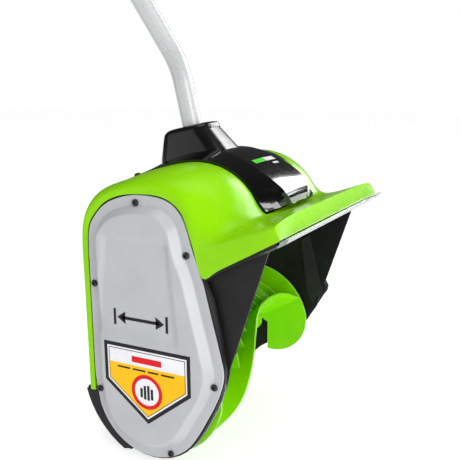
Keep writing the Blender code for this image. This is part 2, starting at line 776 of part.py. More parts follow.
def build_drive():
    shaft = [(0, 166), (AXLE_R - 1, 166), (AXLE_R, 165), (AXLE_R, -154), (AXLE_R - 1, -155), (0, -155)]
    turned("rotor_shaft", shaft, place(0, 0, 0), (-1, 0, 0), STEEL, 20)
    for side, name in ((-1, "right_bearing"), (1, "left_bearing")):
        turned(name, ring_profile(16.0, AXLE_R + GAP, 4.5), place(side * 149.5, 0, 0), (1, 0, 0), STEEL, 24)
    belt_x = -161.8
    flange, groove, recess = BIG_PULLEY_R + 2.6, BIG_PULLEY_R, BIG_PULLEY_R - 6
    rim = [
        (flange, 6.2), (flange, 5.0), (groove, 5.0), (groove, -5.0), (flange, -5.0), (flange, -6.2), (13, -6.2),
        (AXLE_R + GAP, -6.2), (AXLE_R + GAP, 3.5), (13, 3.5), (recess, 3.5), (recess, 6.2), (flange, 6.2),
    ]
    turned("driven_pulley", rim, place(belt_x, 0, 0), (-1, 0, 0), BLACK, 26)
    ring = ring_profile(SMALL_PULLEY_R, 4.0 + GAP, 6.0)
    turned("motor_pulley", ring, place(belt_x, *MOTOR), (-1, 0, 0), STEEL, 20)
    side_plate("drive_belt", belt_loop(GAP + BELT_T), belt_x - 4.6, belt_x + 4.6, RUBBER,
               [list(reversed(belt_loop(GAP)))])
    heading = math.atan2(MOTOR[1], MOTOR[0])
    length = math.hypot(*MOTOR)
    spread = math.acos((BIG_PULLEY_R - SMALL_PULLEY_R) / length)
    normal = heading - spread
    middle = 0.45
    start = (BIG_PULLEY_R * math.cos(normal), BIG_PULLEY_R * math.sin(normal))
    end = (MOTOR[0] + SMALL_PULLEY_R * math.cos(normal), MOTOR[1] + SMALL_PULLEY_R * math.sin(normal))
    away = GAP * 2 + BELT_T + IDLER_R
    idler = (
        start[0] + (end[0] - start[0]) * middle + away * math.cos(normal),
        start[1] + (end[1] - start[1]) * middle + away * math.sin(normal),
    )
    ring = ring_profile(IDLER_R, 3.0 + GAP, 5.0)
    turned("idler_pulley", ring, place(belt_x, *idler), (-1, 0, 0), STEEL, 20)
    arm = rectangle((idler[0] - 8, idler[1] - 9), (idler[0] + 9, idler[1] + 40))
    bracket = side_plate("idler_bracket", arm, -155.4, -156.5, STEEL)
    join(bracket, x_cylinder("idler_pin", idler, 3.0, -156.0, -168.0, STEEL, 14))


def build_motor():
    turned(
        "motor_can",
        [(0, 52), (MOTOR_R - 4, 52), (MOTOR_R, 48), (MOTOR_R, -48), (MOTOR_R - 4, -52), (12, -52), (12, -49),
         (MOTOR_R - 6, -49), (MOTOR_R - 3, -46), (MOTOR_R - 3, 46), (MOTOR_R - 6, 49), (0, 49)],
        place(-86, *MOTOR), (1, 0, 0), STEEL, 28,
    )
    core = [(0, 80.5), (4.0, 80.5), (4.0, 40), (26, 40), (26, -40), (4, -40), (4, -44), (0, -44)]
    turned("motor_armature", core, place(-86, *MOTOR), (-1, 0, 0), BLACK_STEEL, 20)
    side_plate(
        "motor_mount", arc(MOTOR, MOTOR_R + 6, 0, 2 * math.pi * 23 / 24, 24), -WALL_IN + GAP, -138.4, STEEL,
        [arc(MOTOR, 17.0, 0, -2 * math.pi * 19 / 20, 20)],
    )
    side_plate("control_board", rectangle((-70, 140), (-66, 225)), -30, 70, BOARD)


# The shaft.


def bend_points():
    """The bend between the lower and upper straight runs, as an arc."""
    half = (UPPER_LEAN - LOWER_LEAN) / 2
    tangent = BEND_R * math.tan(half)
    start = (BEND[0] + tangent * math.sin(LOWER_LEAN), BEND[1] - tangent * math.cos(LOWER_LEAN))
    centre = (start[0] - BEND_R * math.cos(LOWER_LEAN), start[1] - BEND_R * math.sin(LOWER_LEAN))
    return arc(centre, BEND_R, LOWER_LEAN, UPPER_LEAN, 7)


def build_shaft():
    lower = [(0, *lower_line(262)), *[(0, f, u) for f, u in bend_points()], (0, *along_upper(SPLIT_AT))]
    rod("lower_tube", lower, TUBE_R, TUBE_PAINT, 5, bore=TUBE_R - 1.5)
    upper = [(0, *along_upper(SPLIT_AT + 1)), (0, *along_upper(TUBE_END))]
    rod("upper_tube", upper, TUBE_R, TUBE_PAINT, 5, bore=TUBE_R - 1.5)
    cable = [(0, *lower_line(240)), *[(0, f, u) for f, u in bend_points()], (0, *along_upper(TUBE_END + 12))]
    rod("power_cable", cable, 4.0, RUBBER, 2)
    axis = place(0, *along_upper(1)) - place(0, *along_upper(0))
    middle = (COUPLER_FROM + COUPLER_TO) / 2
    half = (COUPLER_TO - COUPLER_FROM) / 2
    bore = TUBE_R + GAP
    coupler = turned(
        "shaft_coupler",
        [(20, half), (21.5, half - 2), (21.5, 6), (20.5, 4), (20.5, -4), (21.5, -6), (21.5, 2 - half),
         (20, -half), (bore, -half), (bore, half), (20, half)],
        place(0, *along_upper(middle)), axis, BLACK, 20,
    )
    lug = [along_upper(middle + a, b) for a, b in ((-13, -19), (13, -19), (13, -48), (-13, -48))]
    join(coupler, side_plate("coupler_lug", lug, -13, 13, BLACK))
    cut(coupler, rod("coupler_clear_cut", [(0, *along_upper(middle - 40)), (0, *along_upper(middle + 40))],
                     bore, BLACK, 6))
    spot = along_upper(middle, -39.5)
    cut(coupler, x_cylinder("coupler_bolt_cut", spot, 3.3, -30, 30, BLACK, 12))
    knob("coupler_knob", spot, 13 + GAP, 3.0, -15.0)


def knob(name, spot, foot, bolt_r, bolt_to):
    """A five-lobed hand knob on the +X side, with its bolt through the clamp."""
    points = []
    count = 30
    for i in range(count):
        angle = 2 * math.pi * i / count
        radius = 15.0 + 1.8 * math.cos(5 * angle)
        points.append((spot[0] + radius * math.cos(angle), spot[1] + radius * math.sin(angle)))
    head = side_plate(name, points, foot, foot + 14, BLACK)
    round_edges(head, 1.5)
    join(head, x_cylinder(name + "_bolt", spot, bolt_r, bolt_to, foot + 4, BLACK, 12))


def build_assist():
    """The adjustable assist handle: two clamp halves, a bow, and the knob's bolt through them."""
    lift = 34.0
    pivot = along_upper(ASSIST_AT, lift)
    tube = [(0, *along_upper(ASSIST_AT - 60)), (0, *along_upper(ASSIST_AT + 60))]
    outlines = {
        "assist_clamp_upper": [
            (-24, GAP / 2), (24, GAP / 2), (24, 26), (14, lift + 15), (-14, lift + 15), (-24, 26),
        ],
        "assist_clamp_lower": [
            (-24, -GAP / 2), (-24, -16), (-18, -23), (18, -23), (24, -16), (24, -GAP / 2),
        ],
    }
    for name, outline in outlines.items():
        ring = [along_upper(ASSIST_AT + a, b) for a, b in outline]
        clamp = side_plate(name, ring, -22, 22, BLACK)
        round_edges(clamp, 2.0)
        cut(clamp, rod(name + "_tube_cut", tube, TUBE_R + GAP, BLACK, 6))
        if name == "assist_clamp_upper":
            cut(clamp, x_cylinder("assist_pivot_cut", pivot, 4.0 + GAP, -40, 40, BLACK, 16))
    for side in (-1, 1):
        word = "right" if side < 0 else "left"
        screw = [(side * 18, *along_upper(ASSIST_AT, -26.5)), (side * 18, *along_upper(ASSIST_AT, 12))]
        bolt = rod(f"assist_clamp_screw_{word}", screw, 2.2, BLACK_STEEL, 2)
        head = [(side * 18, *along_upper(ASSIST_AT, -26.8)), (side * 18, *along_upper(ASSIST_AT, -23.4))]
        join(bolt, rod(f"assist_screw_head_{word}", head, 4.0, BLACK_STEEL, 2))
    for side in (-1, 1):
        for name in outlines:
            hole = [(side * 18, *along_upper(ASSIST_AT, -30)), (side * 18, *along_upper(ASSIST_AT, 13))]
            cut(bpy.data.objects[name], rod(f"{name}_screw_cut_{side}", hole, 2.6, BLACK, 2))
    arm_x, reach, corner = 36.0, 150.0, 34.0
    span = 78.0
    path = [(arm_x, 0), (arm_x + 2, 30)]
    path += [(arm_x + 2 + (span - arm_x - 2) * t, 30 + 34 * t) for t in (0.35, 0.7, 1.0)]
    top = arc((span - corner + 6, reach - corner), corner, 0, math.pi / 2, 6)
    right = path + top
    whole = [(x, n) for x, n in right] + [(-x, n) for x, n in reversed(right)]
    points = [(x, *along_upper(ASSIST_AT, lift + n)) for x, n in whole]
    bow = rod("assist_bow", points, 11.0, BLACK, 3)
    for side in (-1, 1):
        join(bow, x_cylinder(f"assist_eye_{side}", pivot, 16, side * (22 + GAP), side * 48, BLACK, 24))
    cut(bow, x_cylinder("assist_bow_cut", pivot, 4.0 + GAP, -60, 60, BLACK, 16))
    grip = [(x, *along_upper(ASSIST_AT, lift + reach)) for x in (-42, 42)]
    rod("assist_grip_sleeve", grip, 14.0, RUBBER, 5, bore=11.0 + GAP)
    knob("assist_knob", pivot, 48 + GAP, 4.0, -52.0)


# The rear handle, its controls and the battery.

SHELL_OUTER = [
    (0, -19), (0, 19), (40, 21), (70, 26), (96, 36), (130, 40), (200, 38), (226, 36), (226, -52), (200, -58),
    (120, -56), (92, -50), (66, -32), (40, -21),
]
LOOP = [
    (106, -30), (104, -8), (112, 6), (124, 10), (196, 9), (207, 0), (208, -32), (200, -42), (120, -42),
]
BAY = [(220, -60), (220, 44), (286, 44), (286, -60)]
BODY_HALF = 19.0
BAY_HALF = 45.0
WALL = 3.0
TRIGGER_PIVOT = (172.0, 14.0)


def handle_rooms(name):
    """The spaces inside the handle: for the controls, the battery, the shaft's end and the plug."""
    inside = BODY_HALF - WALL
    spaces = {
        "bay": ([(236, -56), (236, 40), (300, 40), (300, -56)], BAY_HALF - WALL),
        "hollow": (
            [(52, -12), (52, 12), (70, 20), (98, 30), (132, 36), (224, 33), (224, 14), (134, 14), (110, 13),
             (98, -4), (98, -30), (72, -26), (60, -16)],
            inside,
        ),
        "trigger": ([(116, 2), (116, 18), (168, 20), (176, 14), (176, 2)], 7.6),
        "button": ([(138, 28), (138, 46), (158, 46), (158, 28)], 6.6),
        "plug": ([(221, -14), (221, 14), (240, 14), (240, -14)], 16.6),
    }
    rooms = [
        side_plate(f"{name}_{word}_cut", handle_points(outline), -half, half, BLACK)
        for word, (outline, half) in spaces.items()
    ]
    tube = [(0, *along_upper(HANDLE_AT - 4)), (0, *along_upper(HANDLE_AT + 56))]
    rooms.append(rod(name + "_tube_cut", tube, TUBE_R + GAP, BLACK, 6))
    pin = handle_points([TRIGGER_PIVOT])[0]
    rooms.append(x_cylinder(name + "_pin_cut", pin, 2.0 + GAP, -inside - 0.5, inside + 0.5, BLACK, 12))
    return rooms


def build_handle():
    outer = handle_points(SHELL_OUTER)
    loop = handle_points(LOOP)
    bay = handle_points(BAY)
    half_space = handle_points([(-40, -120), (340, -120), (340, 120), (-40, 120)])
    for side, name in ((-1, "right_handle_shell"), (1, "left_handle_shell")):
        shell = side_plate(name, outer, -BODY_HALF, BODY_HALF, BLACK, [loop])
        round_edges(shell, 4.0, 2, 60)
        join(shell, side_plate(name + "_bay", bay, -BAY_HALF, BAY_HALF, BLACK), solver="MANIFOLD")
        cut(shell, *handle_rooms(name), solver="MANIFOLD")
        other_half = side_plate(name + "_half_cut", half_space, -side * 100, side * GAP / 2, BLACK)
        cut(shell, other_half, solver="MANIFOLD")


def build_controls():
    trigger = handle_points([
        (120, 15.5), (118, 2), (122, -8), (134, -10), (150, 1), (164, 5), (174, 10.5), (174, 19), (166, 19.5),
        (150, 18.5),
    ])
    lever = side_plate("trigger", trigger, -7, 7, ROTOR_GREEN)
    round_edges(lever, 1.2)
    lock = handle_points([(139, 30.5), (139, 43), (157, 43), (157, 30.5)])
    button = side_plate("lock_off_button", lock, -6, 6, ROTOR_GREEN)
    round_edges(button, 1.2)
    pin = handle_points([TRIGGER_PIVOT])[0]
    cut(lever, x_cylinder("trigger_pin_cut", pin, 2.0 + GAP, -10, 10, BLACK, 12))
    x_cylinder("trigger_pin", pin, 2.0, -15.7, 15.7, STEEL, 12)
    switch = handle_points([(103, 23.5), (103, 30), (124, 30), (124, 23.5)])
    side_plate("micro_switch", switch, -6, 6, BLACK)
    coil = []
    turns, per_turn, radius = 4, 8, 3.0
    bottom, top = (130.6, 17.6), (130.6, 34.0)
    for i in range(turns * per_turn + 1):
        angle = 2 * math.pi * i / per_turn
        along = bottom[0] + radius * math.cos(angle)
        off = bottom[1] + (top[1] - bottom[1]) * i / (turns * per_turn)
        f, u = along_upper(HANDLE_AT + along, off)
        coil.append((radius * math.sin(angle), f, u))
    rod("trigger_spring", coil, 0.45, STEEL, 1)


def build_battery():
    body = list(reversed(handle_points(
        [(237, -55.4), (237, 39.4), (330, 39.4), (338, 31), (338, -47), (330, -55.4)]
    )))
    pack = side_plate("battery_pack", body, -BAY_HALF + WALL + 0.6, BAY_HALF - WALL - 0.6, BLACK)
    round_edges(pack, 3.0, 1)
    recess = handle_points([(292, 30), (292, 46), (324, 46), (324, 30)])
    cut(pack, side_plate("latch_recess_cut", recess, -13, 13, BLACK))
    slot = handle_points([(230, -10), (230, 10), (250, 10), (250, -10)])
    for x in (-9, 0, 9):
        cut(pack, side_plate(f"terminal_slot_cut_{x}", slot, x - 1.4, x + 1.4, BLACK))
    latch = handle_points([(293, 33.5), (293, 40), (298, 42.5), (318, 42.5), (323, 40), (323, 33.5)])
    button = side_plate("battery_latch", latch, -12, 12, ROTOR_GREEN)
    round_edges(button, 1.0)
    plug = handle_points([(222, -12), (222, 12), (236, 12), (236, -12)])
    terminals = side_plate("battery_terminals", plug, -16, 16, BLACK)
    for x in (-9, 0, 9):
        blade = handle_points([(234, -7), (234, 7), (246, 7), (246, -7)])
        join(terminals, side_plate(f"terminal_blade_{x}", blade, x - 0.5, x + 0.5, BRASS))


def build_small_screws():
    """The housing's recessed screws on its rear slope, and the handle's shell screws."""
    for side, name in ((-1, "housing_screw_right"), (1, "housing_screw_left")):
        profile = [(0, 2.6), (3.4, 2.2), (4.4, 1.0), (4.4, 0), (0, 0)]
        turned(name, profile, place(side * 108, -46, 272.4), (0, 0.34, 0.94), BLACK_STEEL, 12)
    for number, spot in enumerate([(22, 16.5), (84, -36), (190, -50)], 1):
        place_at = place(-BODY_HALF - GAP, *handle_points([spot])[0])
        profile = [(0, 2.0), (3.4, 1.6), (3.6, 0), (0, 0)]
        turned(f"handle_screw_{number}", profile, place_at, (-1, 0, 0), BLACK_STEEL, 12)


build_housing()
build_motor_cover()
build_socket()
build_liner()
build_lip_pieces()
build_walls()
build_side_cases()
build_belt_cover()
build_cover_screws()
build_scraper()
build_rotor()
build_drive()
build_motor()
build_shaft()
build_assist()
build_handle()
build_controls()
build_battery()
build_small_screws()
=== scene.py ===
"""The cordless snow shovel's visual model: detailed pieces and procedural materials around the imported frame.

Side outlines are written as (forward, up) in millimetres from the rotor's axle, as in the CAD source.
"""

import json
import math

import bmesh
import bpy
from mathutils import Matrix, Vector

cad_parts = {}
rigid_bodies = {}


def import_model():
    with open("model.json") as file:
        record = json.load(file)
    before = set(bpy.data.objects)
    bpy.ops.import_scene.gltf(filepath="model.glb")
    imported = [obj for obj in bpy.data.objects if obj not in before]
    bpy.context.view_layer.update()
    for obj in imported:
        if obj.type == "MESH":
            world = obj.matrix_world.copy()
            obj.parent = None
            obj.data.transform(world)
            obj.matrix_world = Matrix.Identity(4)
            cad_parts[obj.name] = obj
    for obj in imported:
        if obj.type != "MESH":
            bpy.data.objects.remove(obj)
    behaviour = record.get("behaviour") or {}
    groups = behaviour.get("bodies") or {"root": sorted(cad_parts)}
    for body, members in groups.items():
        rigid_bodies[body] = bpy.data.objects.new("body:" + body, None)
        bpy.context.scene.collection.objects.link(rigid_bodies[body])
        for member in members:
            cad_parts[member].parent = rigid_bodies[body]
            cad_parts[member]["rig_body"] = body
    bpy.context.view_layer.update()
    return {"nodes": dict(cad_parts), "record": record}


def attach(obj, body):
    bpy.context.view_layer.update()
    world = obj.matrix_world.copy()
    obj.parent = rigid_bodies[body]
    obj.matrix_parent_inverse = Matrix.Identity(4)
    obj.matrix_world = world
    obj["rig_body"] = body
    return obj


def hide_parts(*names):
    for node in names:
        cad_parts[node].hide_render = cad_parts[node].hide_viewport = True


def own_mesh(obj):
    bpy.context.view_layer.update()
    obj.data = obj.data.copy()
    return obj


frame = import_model()

MM = 0.001
AXLE_BACK, AXLE_UP = -51.0, 108.0
HALF_HEAD = 162.0
MAIN_BODY = "head_and_shaft"
SIDES = ((-1, "right"), (1, "left"))
NODES = frame["nodes"]
SLOT_OF = {row["node"]: row["material_slot"] for row in frame["record"]["subparts"]}


# Materials. Each one is built from noise, so no surface is a single flat colour.


def colour(red, green, blue):
    """A linear colour from 0 to 255 display values."""
    values = []
    for part in (red, green, blue):
        part /= 255.0
        values.append(part / 12.92 if part <= 0.04045 else ((part + 0.055) / 1.055) ** 2.4)
    return (*values, 1.0)


NOISE_LOW, NOISE_HIGH = 0.3, 0.7


class Paint:
    """A node tree in the making."""

    def __init__(self, name):
        self.made = bpy.data.materials.new(name)
        self.made.use_nodes = True
        self.tree = self.made.node_tree
        self.shader = self.tree.nodes["Principled BSDF"]
        self.where = self.tree.nodes.new("ShaderNodeTexCoord").outputs["Object"]

    def fill(self, node, values):
        """Sets a node's inputs by name, and links those whose value is another node's output."""
        for name, value in values.items():
            if isinstance(value, bpy.types.NodeSocket):
                self.tree.links.new(value, node.inputs[name])
            else:
                node.inputs[name].default_value = value
        return node

    def node(self, kind, output, values):
        """The named output of a new node."""
        return self.fill(self.tree.nodes.new(f"ShaderNode{kind}"), values).outputs[output]

    def noise(self, scale, detail, stretch=None):
        where = self.where
        if stretch:
            where = self.node("Mapping", "Vector", {"Scale": stretch, "Vector": where})
        return self.node("TexNoise", "Fac", {"Scale": scale, "Detail": detail, "Vector": where})

    def cells(self, scale):
        return self.node("TexVoronoi", "Distance", {"Scale": scale, "Vector": self.where})

    def ramp(self, source, low, high):
        """A colour for each height of the source, from one (position, colour) to another."""
        made = self.node("ValToRGB", "Color", {"Fac": source})
        elements = made.node.color_ramp.elements
        elements[0].position, elements[0].color = low
        elements[1].position, elements[1].color = high
        return made

    def spread(self, source, low, high):
        """Stretches a noise's usual range over low to high."""
        return self.node("MapRange", "Result", {
            "Value": source, "From Min": NOISE_LOW, "From Max": NOISE_HIGH, "To Min": low, "To Max": high})

    def edges(self, base, edge_wear_and_highlight, amount):
        """Mixes a lighter colour in where the surface turns sharply outwards: edge wear, and on the rotor also
        a painted highlight along the paddles' rims.
        """
        turning = self.node("NewGeometry", "Pointiness", {})
        mask = self.ramp(turning, (0.52, (0, 0, 0, 1)), (0.62, (amount, amount, amount, 1)))
        blend = self.tree.nodes.new("ShaderNodeMix")
        blend.data_type = "RGBA"
        return self.fill(blend, {"Factor": mask, "A": base, "B": edge_wear_and_highlight}).outputs["Result"]


def finish(name, dark, light, rough, cloud=28.0, grain=1400.0, bump=0.08, depth=0.0002, metallic=0.0,
           coat=0.0, edge_wear_and_highlight=None, texture="noise", stretch=None, edge_wear_and_highlight_share=0.35, specular=0.5, extra=()):
    """A surface whose colour, gloss and relief all vary. Its colours are display values from 0 to 255."""
    paint = Paint(name)
    clouds = paint.noise(cloud, 5.0, stretch)
    base = paint.ramp(clouds, (NOISE_LOW, colour(*dark)), (NOISE_HIGH, colour(*light)))
    if edge_wear_and_highlight:
        base = paint.edges(base, colour(*edge_wear_and_highlight), edge_wear_and_highlight_share)
    fine = paint.cells(grain) if texture == "cells" else paint.noise(grain, 3.0, stretch)
    paint.fill(paint.shader, {
        "Base Color": base,
        "Roughness": paint.spread(paint.noise(cloud * 3.0, 6.0, stretch), *rough),
        "Normal": paint.node("Bump", "Normal", {"Height": fine, "Strength": bump, "Distance": depth}),
        "Metallic": metallic,
        "Specular IOR Level": specular,
        **dict(extra),
    })
    if coat:
        paint.fill(paint.shader, {"Coat Weight": coat, "Coat Roughness": 0.06})
    return paint.made


def vinyl(name, dark, light, rough=(0.3, 0.38)):
    """The ink of a printed mark."""
    return finish(f"print_{name}", dark, light, rough, bump=0.04, specular=0.2)


PAINTS = {
    "green_housing": finish(
        "green_shell", (136, 207, 0), (141, 213, 0), (0.26, 0.3), grain=600, bump=0.008,
        edge_wear_and_highlight=(172, 228, 50), edge_wear_and_highlight_share=0.15, specular=0.15),
    # The paddles' lighter edges are partly wear and partly a painted highlight along their rims.
    "rotor_green": finish(
        "green_paddle", (118, 203, 0), (134, 218, 0), (0.28, 0.4), cloud=18, bump=0.04,
        edge_wear_and_highlight=(214, 250, 140), edge_wear_and_highlight_share=0.9, specular=0.2),
    "green_controls": finish(
        "green_control", (112, 196, 0), (130, 214, 4), (0.36, 0.48), bump=0.1, edge_wear_and_highlight=(170, 226, 70)),
    "black_plastic": finish(
        "grained_black", (17, 17, 18), (25, 25, 26), (0.4, 0.55), grain=1600, texture="cells",
        edge_wear_and_highlight=(80, 80, 82), edge_wear_and_highlight_share=0.3, specular=0.2),
    "gloss_black": finish(
        "polished_black", (5, 5, 6), (9, 9, 10), (0.1, 0.14), cloud=16, grain=260, bump=0.006,
        edge_wear_and_highlight=(40, 40, 42), edge_wear_and_highlight_share=0.2, coat=0.5),
    "grey_cover": finish(
        "silver_grey", (174, 175, 179), (181, 182, 185), (0.28, 0.36), cloud=22, grain=2400, bump=0.06,
        edge_wear_and_highlight=(236, 236, 238), edge_wear_and_highlight_share=0.25),
    "clear_strip": finish(
        "clear_moulding", (205, 214, 216), (232, 238, 238), (0.05, 0.14), bump=0.04,
        extra={"Transmission Weight": 0.75, "IOR": 1.49}),
    "tube_paint": finish(
        "powder_paint", (178, 181, 183), (190, 192, 193), (0.24, 0.34), cloud=12, grain=700, bump=0.1,
        edge_wear_and_highlight=(242, 242, 242), coat=0.3),
    "bare_steel": finish(
        "brushed_zinc", (150, 152, 156), (196, 197, 200), (0.22, 0.42), cloud=9, grain=160, bump=0.12,
        metallic=1.0, stretch=(1.0, 14.0, 14.0), edge_wear_and_highlight=(226, 226, 228)),
    "dark_steel": finish(
        "varnished_steel", (44, 40, 38), (66, 60, 56), (0.3, 0.5), grain=420, bump=0.2, metallic=0.7,
        stretch=(12.0, 1.0, 1.0)),
    "black_screws": finish(
        "black_oxide", (22, 22, 24), (36, 36, 39), (0.24, 0.4), cloud=200, grain=1800, bump=0.1,
        metallic=0.6, edge_wear_and_highlight=(120, 120, 124), edge_wear_and_highlight_share=0.5),
    "belt_rubber": finish(
        "belt_compound", (26, 26, 27), (38, 38, 39), (0.7, 0.85), grain=900, bump=0.3, texture="cells"),
    "soft_grip": finish(
        "soft_rubber", (28, 28, 30), (40, 40, 42), (0.68, 0.86), grain=700, bump=0.5, depth=0.0004,
        texture="cells", edge_wear_and_highlight=(74, 74, 76)),
    "circuit_board": finish(
        "solder_mask", (14, 82, 40), (22, 104, 52), (0.3, 0.45), cloud=160, grain=500, bump=0.15,
        edge_wear_and_highlight=(190, 160, 80)),
}
VINYL = {
    "black": vinyl("black", (20, 20, 22), (28, 28, 30), (0.32, 0.4)),
    "white": vinyl("white", (224, 224, 228), (234, 234, 236)),
    "yellow": vinyl("yellow", (242, 182, 0), (248, 190, 0)),
    "red": vinyl("red", (206, 8, 20), (218, 12, 26)),
    "green": vinyl("green", (70, 214, 40), (86, 226, 54)),
}
LAMP = finish("lamp_window", (60, 170, 70), (96, 214, 104), (0.15, 0.25), bump=0.04)
SATIN_BLACK = finish(
    "satin_black", (9, 9, 10), (13, 13, 14), (0.22, 0.26), cloud=16, grain=700, bump=0.004,
    edge_wear_and_highlight=(44, 44, 46), edge_wear_and_highlight_share=0.2)
BRASS = finish("plated_brass", (190, 150, 70), (222, 186, 104), (0.2, 0.34), cloud=60, metallic=1.0)


# Geometry helpers.


def place(x, forward, up):
    return Vector((x * MM, -(forward - AXLE_BACK) * MM, (up + AXLE_UP) * MM))


def arc(centre, radius, start, stop, count):
    step = (stop - start) / (count - 1)
    return [
        (centre[0] + radius * math.cos(start + i * step), centre[1] + radius * math.sin(start + i * step))
        for i in range(count)
    ]


def turns(steps):
    """The angles of a full turn in equal steps."""
    return [2 * math.pi * i / steps for i in range(steps)]


def ease(value):
    value = min(1.0, max(0.0, value))
    return value * value * (3 - 2 * value)


def crisp(value):
    """A step from 0 to 1 that is straight in its middle and rounded only near its ends."""
    value = min(1.0, max(0.0, value))
    soft = 0.16
    if value < soft:
        return value * value / (2 * soft) / (1 - soft)
    if value > 1 - soft:
        return 1 - (1 - value) ** 2 / (2 * soft) / (1 - soft)
    return (value - soft / 2) / (1 - soft)


def spline(points, per, closed=False):
    """A smooth curve through points of any size, with per steps between two of them."""
    count = len(points)
    made = []
    last = count if closed else count - 1
    for i in range(last):
        near = [(i + k) % count if closed else min(count - 1, max(0, i + k)) for k in (-1, 0, 1, 2)]
        ends = [points[k] for k in near]
        for step in range(per):
            t = step / per
            weights = (
                -0.5 * t + t * t - 0.5 * t ** 3, 1 - 2.5 * t * t + 1.5 * t ** 3,
                0.5 * t + 2 * t * t - 1.5 * t ** 3, -0.5 * t * t + 0.5 * t ** 3,
            )
            made.append(tuple(sum(w * v for w, v in zip(weights, values)) for values in zip(*ends)))
    if not closed:
        made.append(tuple(points[-1]))
    return made


def mix(a, b, t):
    return tuple(p + (q - p) * t for p, q in zip(a, b))


def in_scene(name, data):
    """A new object in the scene."""
    made = bpy.data.objects.new(name, data)
    bpy.context.scene.collection.objects.link(made)
    return made


def shade(mesh, angle):
    """Shades a mesh smoothly, except over sharper edges."""
    mesh.shade_smooth()
    mesh.set_sharp_from_angle(angle=math.radians(angle))


def to_piece(name, mesh, slot, replaces=(), angle=35, body=MAIN_BODY, paint=None):
    """Puts a mesh in the scene as a piece on a body, in its slot's paint or in one of its own."""
    made = in_scene(name, mesh)
    mesh.materials.clear()
    mesh.materials.append(paint or PAINTS[slot])
    shade(mesh, angle)
    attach(made, body)
    if replaces:
        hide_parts(*replaces)
    return made


def plain_mesh(name, points, faces):
    mesh = bpy.data.meshes.new(name)
    mesh.from_pydata(points, [], faces)
    return mesh


def mesh_of(name, points, faces, weld=False):
    """A mesh whose faces all point outwards."""
    mesh = plain_mesh(name, points, faces)
    work = bmesh.new()
    work.from_mesh(mesh)
    if weld:
        bmesh.ops.remove_doubles(work, verts=work.verts, dist=0.000002)
    bmesh.ops.recalc_face_normals(work, faces=work.faces)
    work.to_mesh(mesh)
    work.free()
    return mesh


def grid_faces(rows, width, wrap=False):
    across = width if wrap else width - 1
    return [
        (r * width + c, r * width + (c + 1) % width, (r + 1) * width + (c + 1) % width, (r + 1) * width + c)
        for r in range(rows - 1)
        for c in range(across)
    ]


def sheet(name, rows):
    """An open sheet through rows of (x, forward, up) points, whose faces keep the order of the rows."""
    return plain_mesh(name, [place(*p) for row in rows for p in row], grid_faces(len(rows), len(rows[0])))


def capped_rings(name, rings):
    """A solid through closed rings of finished points, capped at both ends."""
    width = len(rings[0])
    last = (len(rings) - 1) * width
    faces = grid_faces(len(rings), width, True)
    faces += [tuple(reversed(range(width))), tuple(range(last, last + width))]
    return mesh_of(name, [p for ring in rings for p in ring], faces)


def closed_rings(name, rings):
    """The same through rings of (x, forward, up) points."""
    return capped_rings(name, [[place(*p) for p in ring] for ring in rings])


def turn_to(axis):
    """The rotation that takes the up direction to an axis."""
    return Vector((0, 0, 1)).rotation_difference(Vector(axis)).to_matrix()


def welded_rings(name, rings):
    """A surface through closed rings of finished points, with the points that meet joined."""
    points = [p for ring in rings for p in ring]
    return mesh_of(name, points, grid_faces(len(rings), len(rings[0]), True), True)


def turned_mesh(name, profile, spot, axis, steps):
    """A turned solid: a (radius, height) profile in millimetres, from the top of the axis to its foot."""
    turn = turn_to(axis)
    return welded_rings(name, [
        [spot + turn @ (Vector((r * math.cos(a), r * math.sin(a), h)) * MM) for a in turns(steps)]
        for r, h in profile
    ])


def plate_mesh(name, outline, x_from, x_to, rims=1):
    """A side outline extruded along X. Two rims at each end keep the lighter edge colour (edge wear, and
    painted highlight on the rotor) off its flat faces.
    """
    return closed_rings(name, [[(x, f, u) for f, u in outline] for x in [x_from] * rims + [x_to] * rims])


def bar(low, high):
    """A rectangle's outline between two opposite corners."""
    return [low, (high[0], low[1]), high, (low[0], high[1])]


def inset(points, distance):
    """A closed outline moved inwards (anticlockwise) by the same distance all round."""
    moved = []
    count = len(points)
    for i, point in enumerate(points):
        here = Vector(point)
        into = (here - Vector(points[i - 1])).normalized()
        out = (Vector(points[(i + 1) % count]) - here).normalized()
        normal_in, normal_out = Vector((-into.y, into.x)), Vector((-out.y, out.x))
        middle = (normal_in + normal_out).normalized()
        moved.append(tuple(here + middle * distance / max(0.5, middle.dot(normal_in))))
    return moved


def apply_modifiers(obj):
    """Bakes an object's modifiers into its mesh."""
    graph = bpy.context.evaluated_depsgraph_get()
    made = bpy.data.meshes.new_from_object(obj.evaluated_get(graph))
    obj.modifiers.clear()
    old = obj.data
    obj.data = made
    bpy.data.meshes.remove(old)


def carve(obj, mesh):
    """Cuts a mesh out of an object at once, and leaves no tool behind."""
    tool = in_scene("tool", mesh)
    change = obj.modifiers.new("carve", "BOOLEAN")
    change.operation = "DIFFERENCE"
    change.object = tool
    change.solver = "EXACT"
    bpy.context.view_layer.update()
    apply_modifiers(obj)
    bpy.data.objects.remove(tool, do_unlink=True)


def bevel(obj, width, segments=2, angle=30):
    edge = obj.modifiers.new("edges", "BEVEL")
    edge.width = width * MM
    edge.segments = segments
    edge.limit_method = "ANGLE"
    edge.angle_limit = math.radians(angle)
    edge.use_clamp_overlap = True
    edge.harden_normals = True


OUTER_EDGE, FOLDED, FLAT = math.radians(40), math.radians(178), math.radians(0.5)


def bevel_outer_edges(obj, width):
    """Rounds only the edges that stand out, and leaves the inner corners sharp."""
    work = bmesh.new()
    work.from_mesh(obj.data)
    weight = work.edges.layers.float.new("bevel_weight_edge")
    for edge in work.edges:
        if edge.is_manifold and edge.is_convex and edge.calc_face_angle() > OUTER_EDGE:
            edge[weight] = 1.0
    work.to_mesh(obj.data)
    work.free()
    bevel(obj, width, 3)
    obj.modifiers["edges"].limit_method = "WEIGHT"


def thicken(obj, thickness, offset):
    shell = obj.modifiers.new("wall", "SOLIDIFY")
    shell.thickness = thickness * MM
    shell.offset = offset
    shell.use_even_offset = True


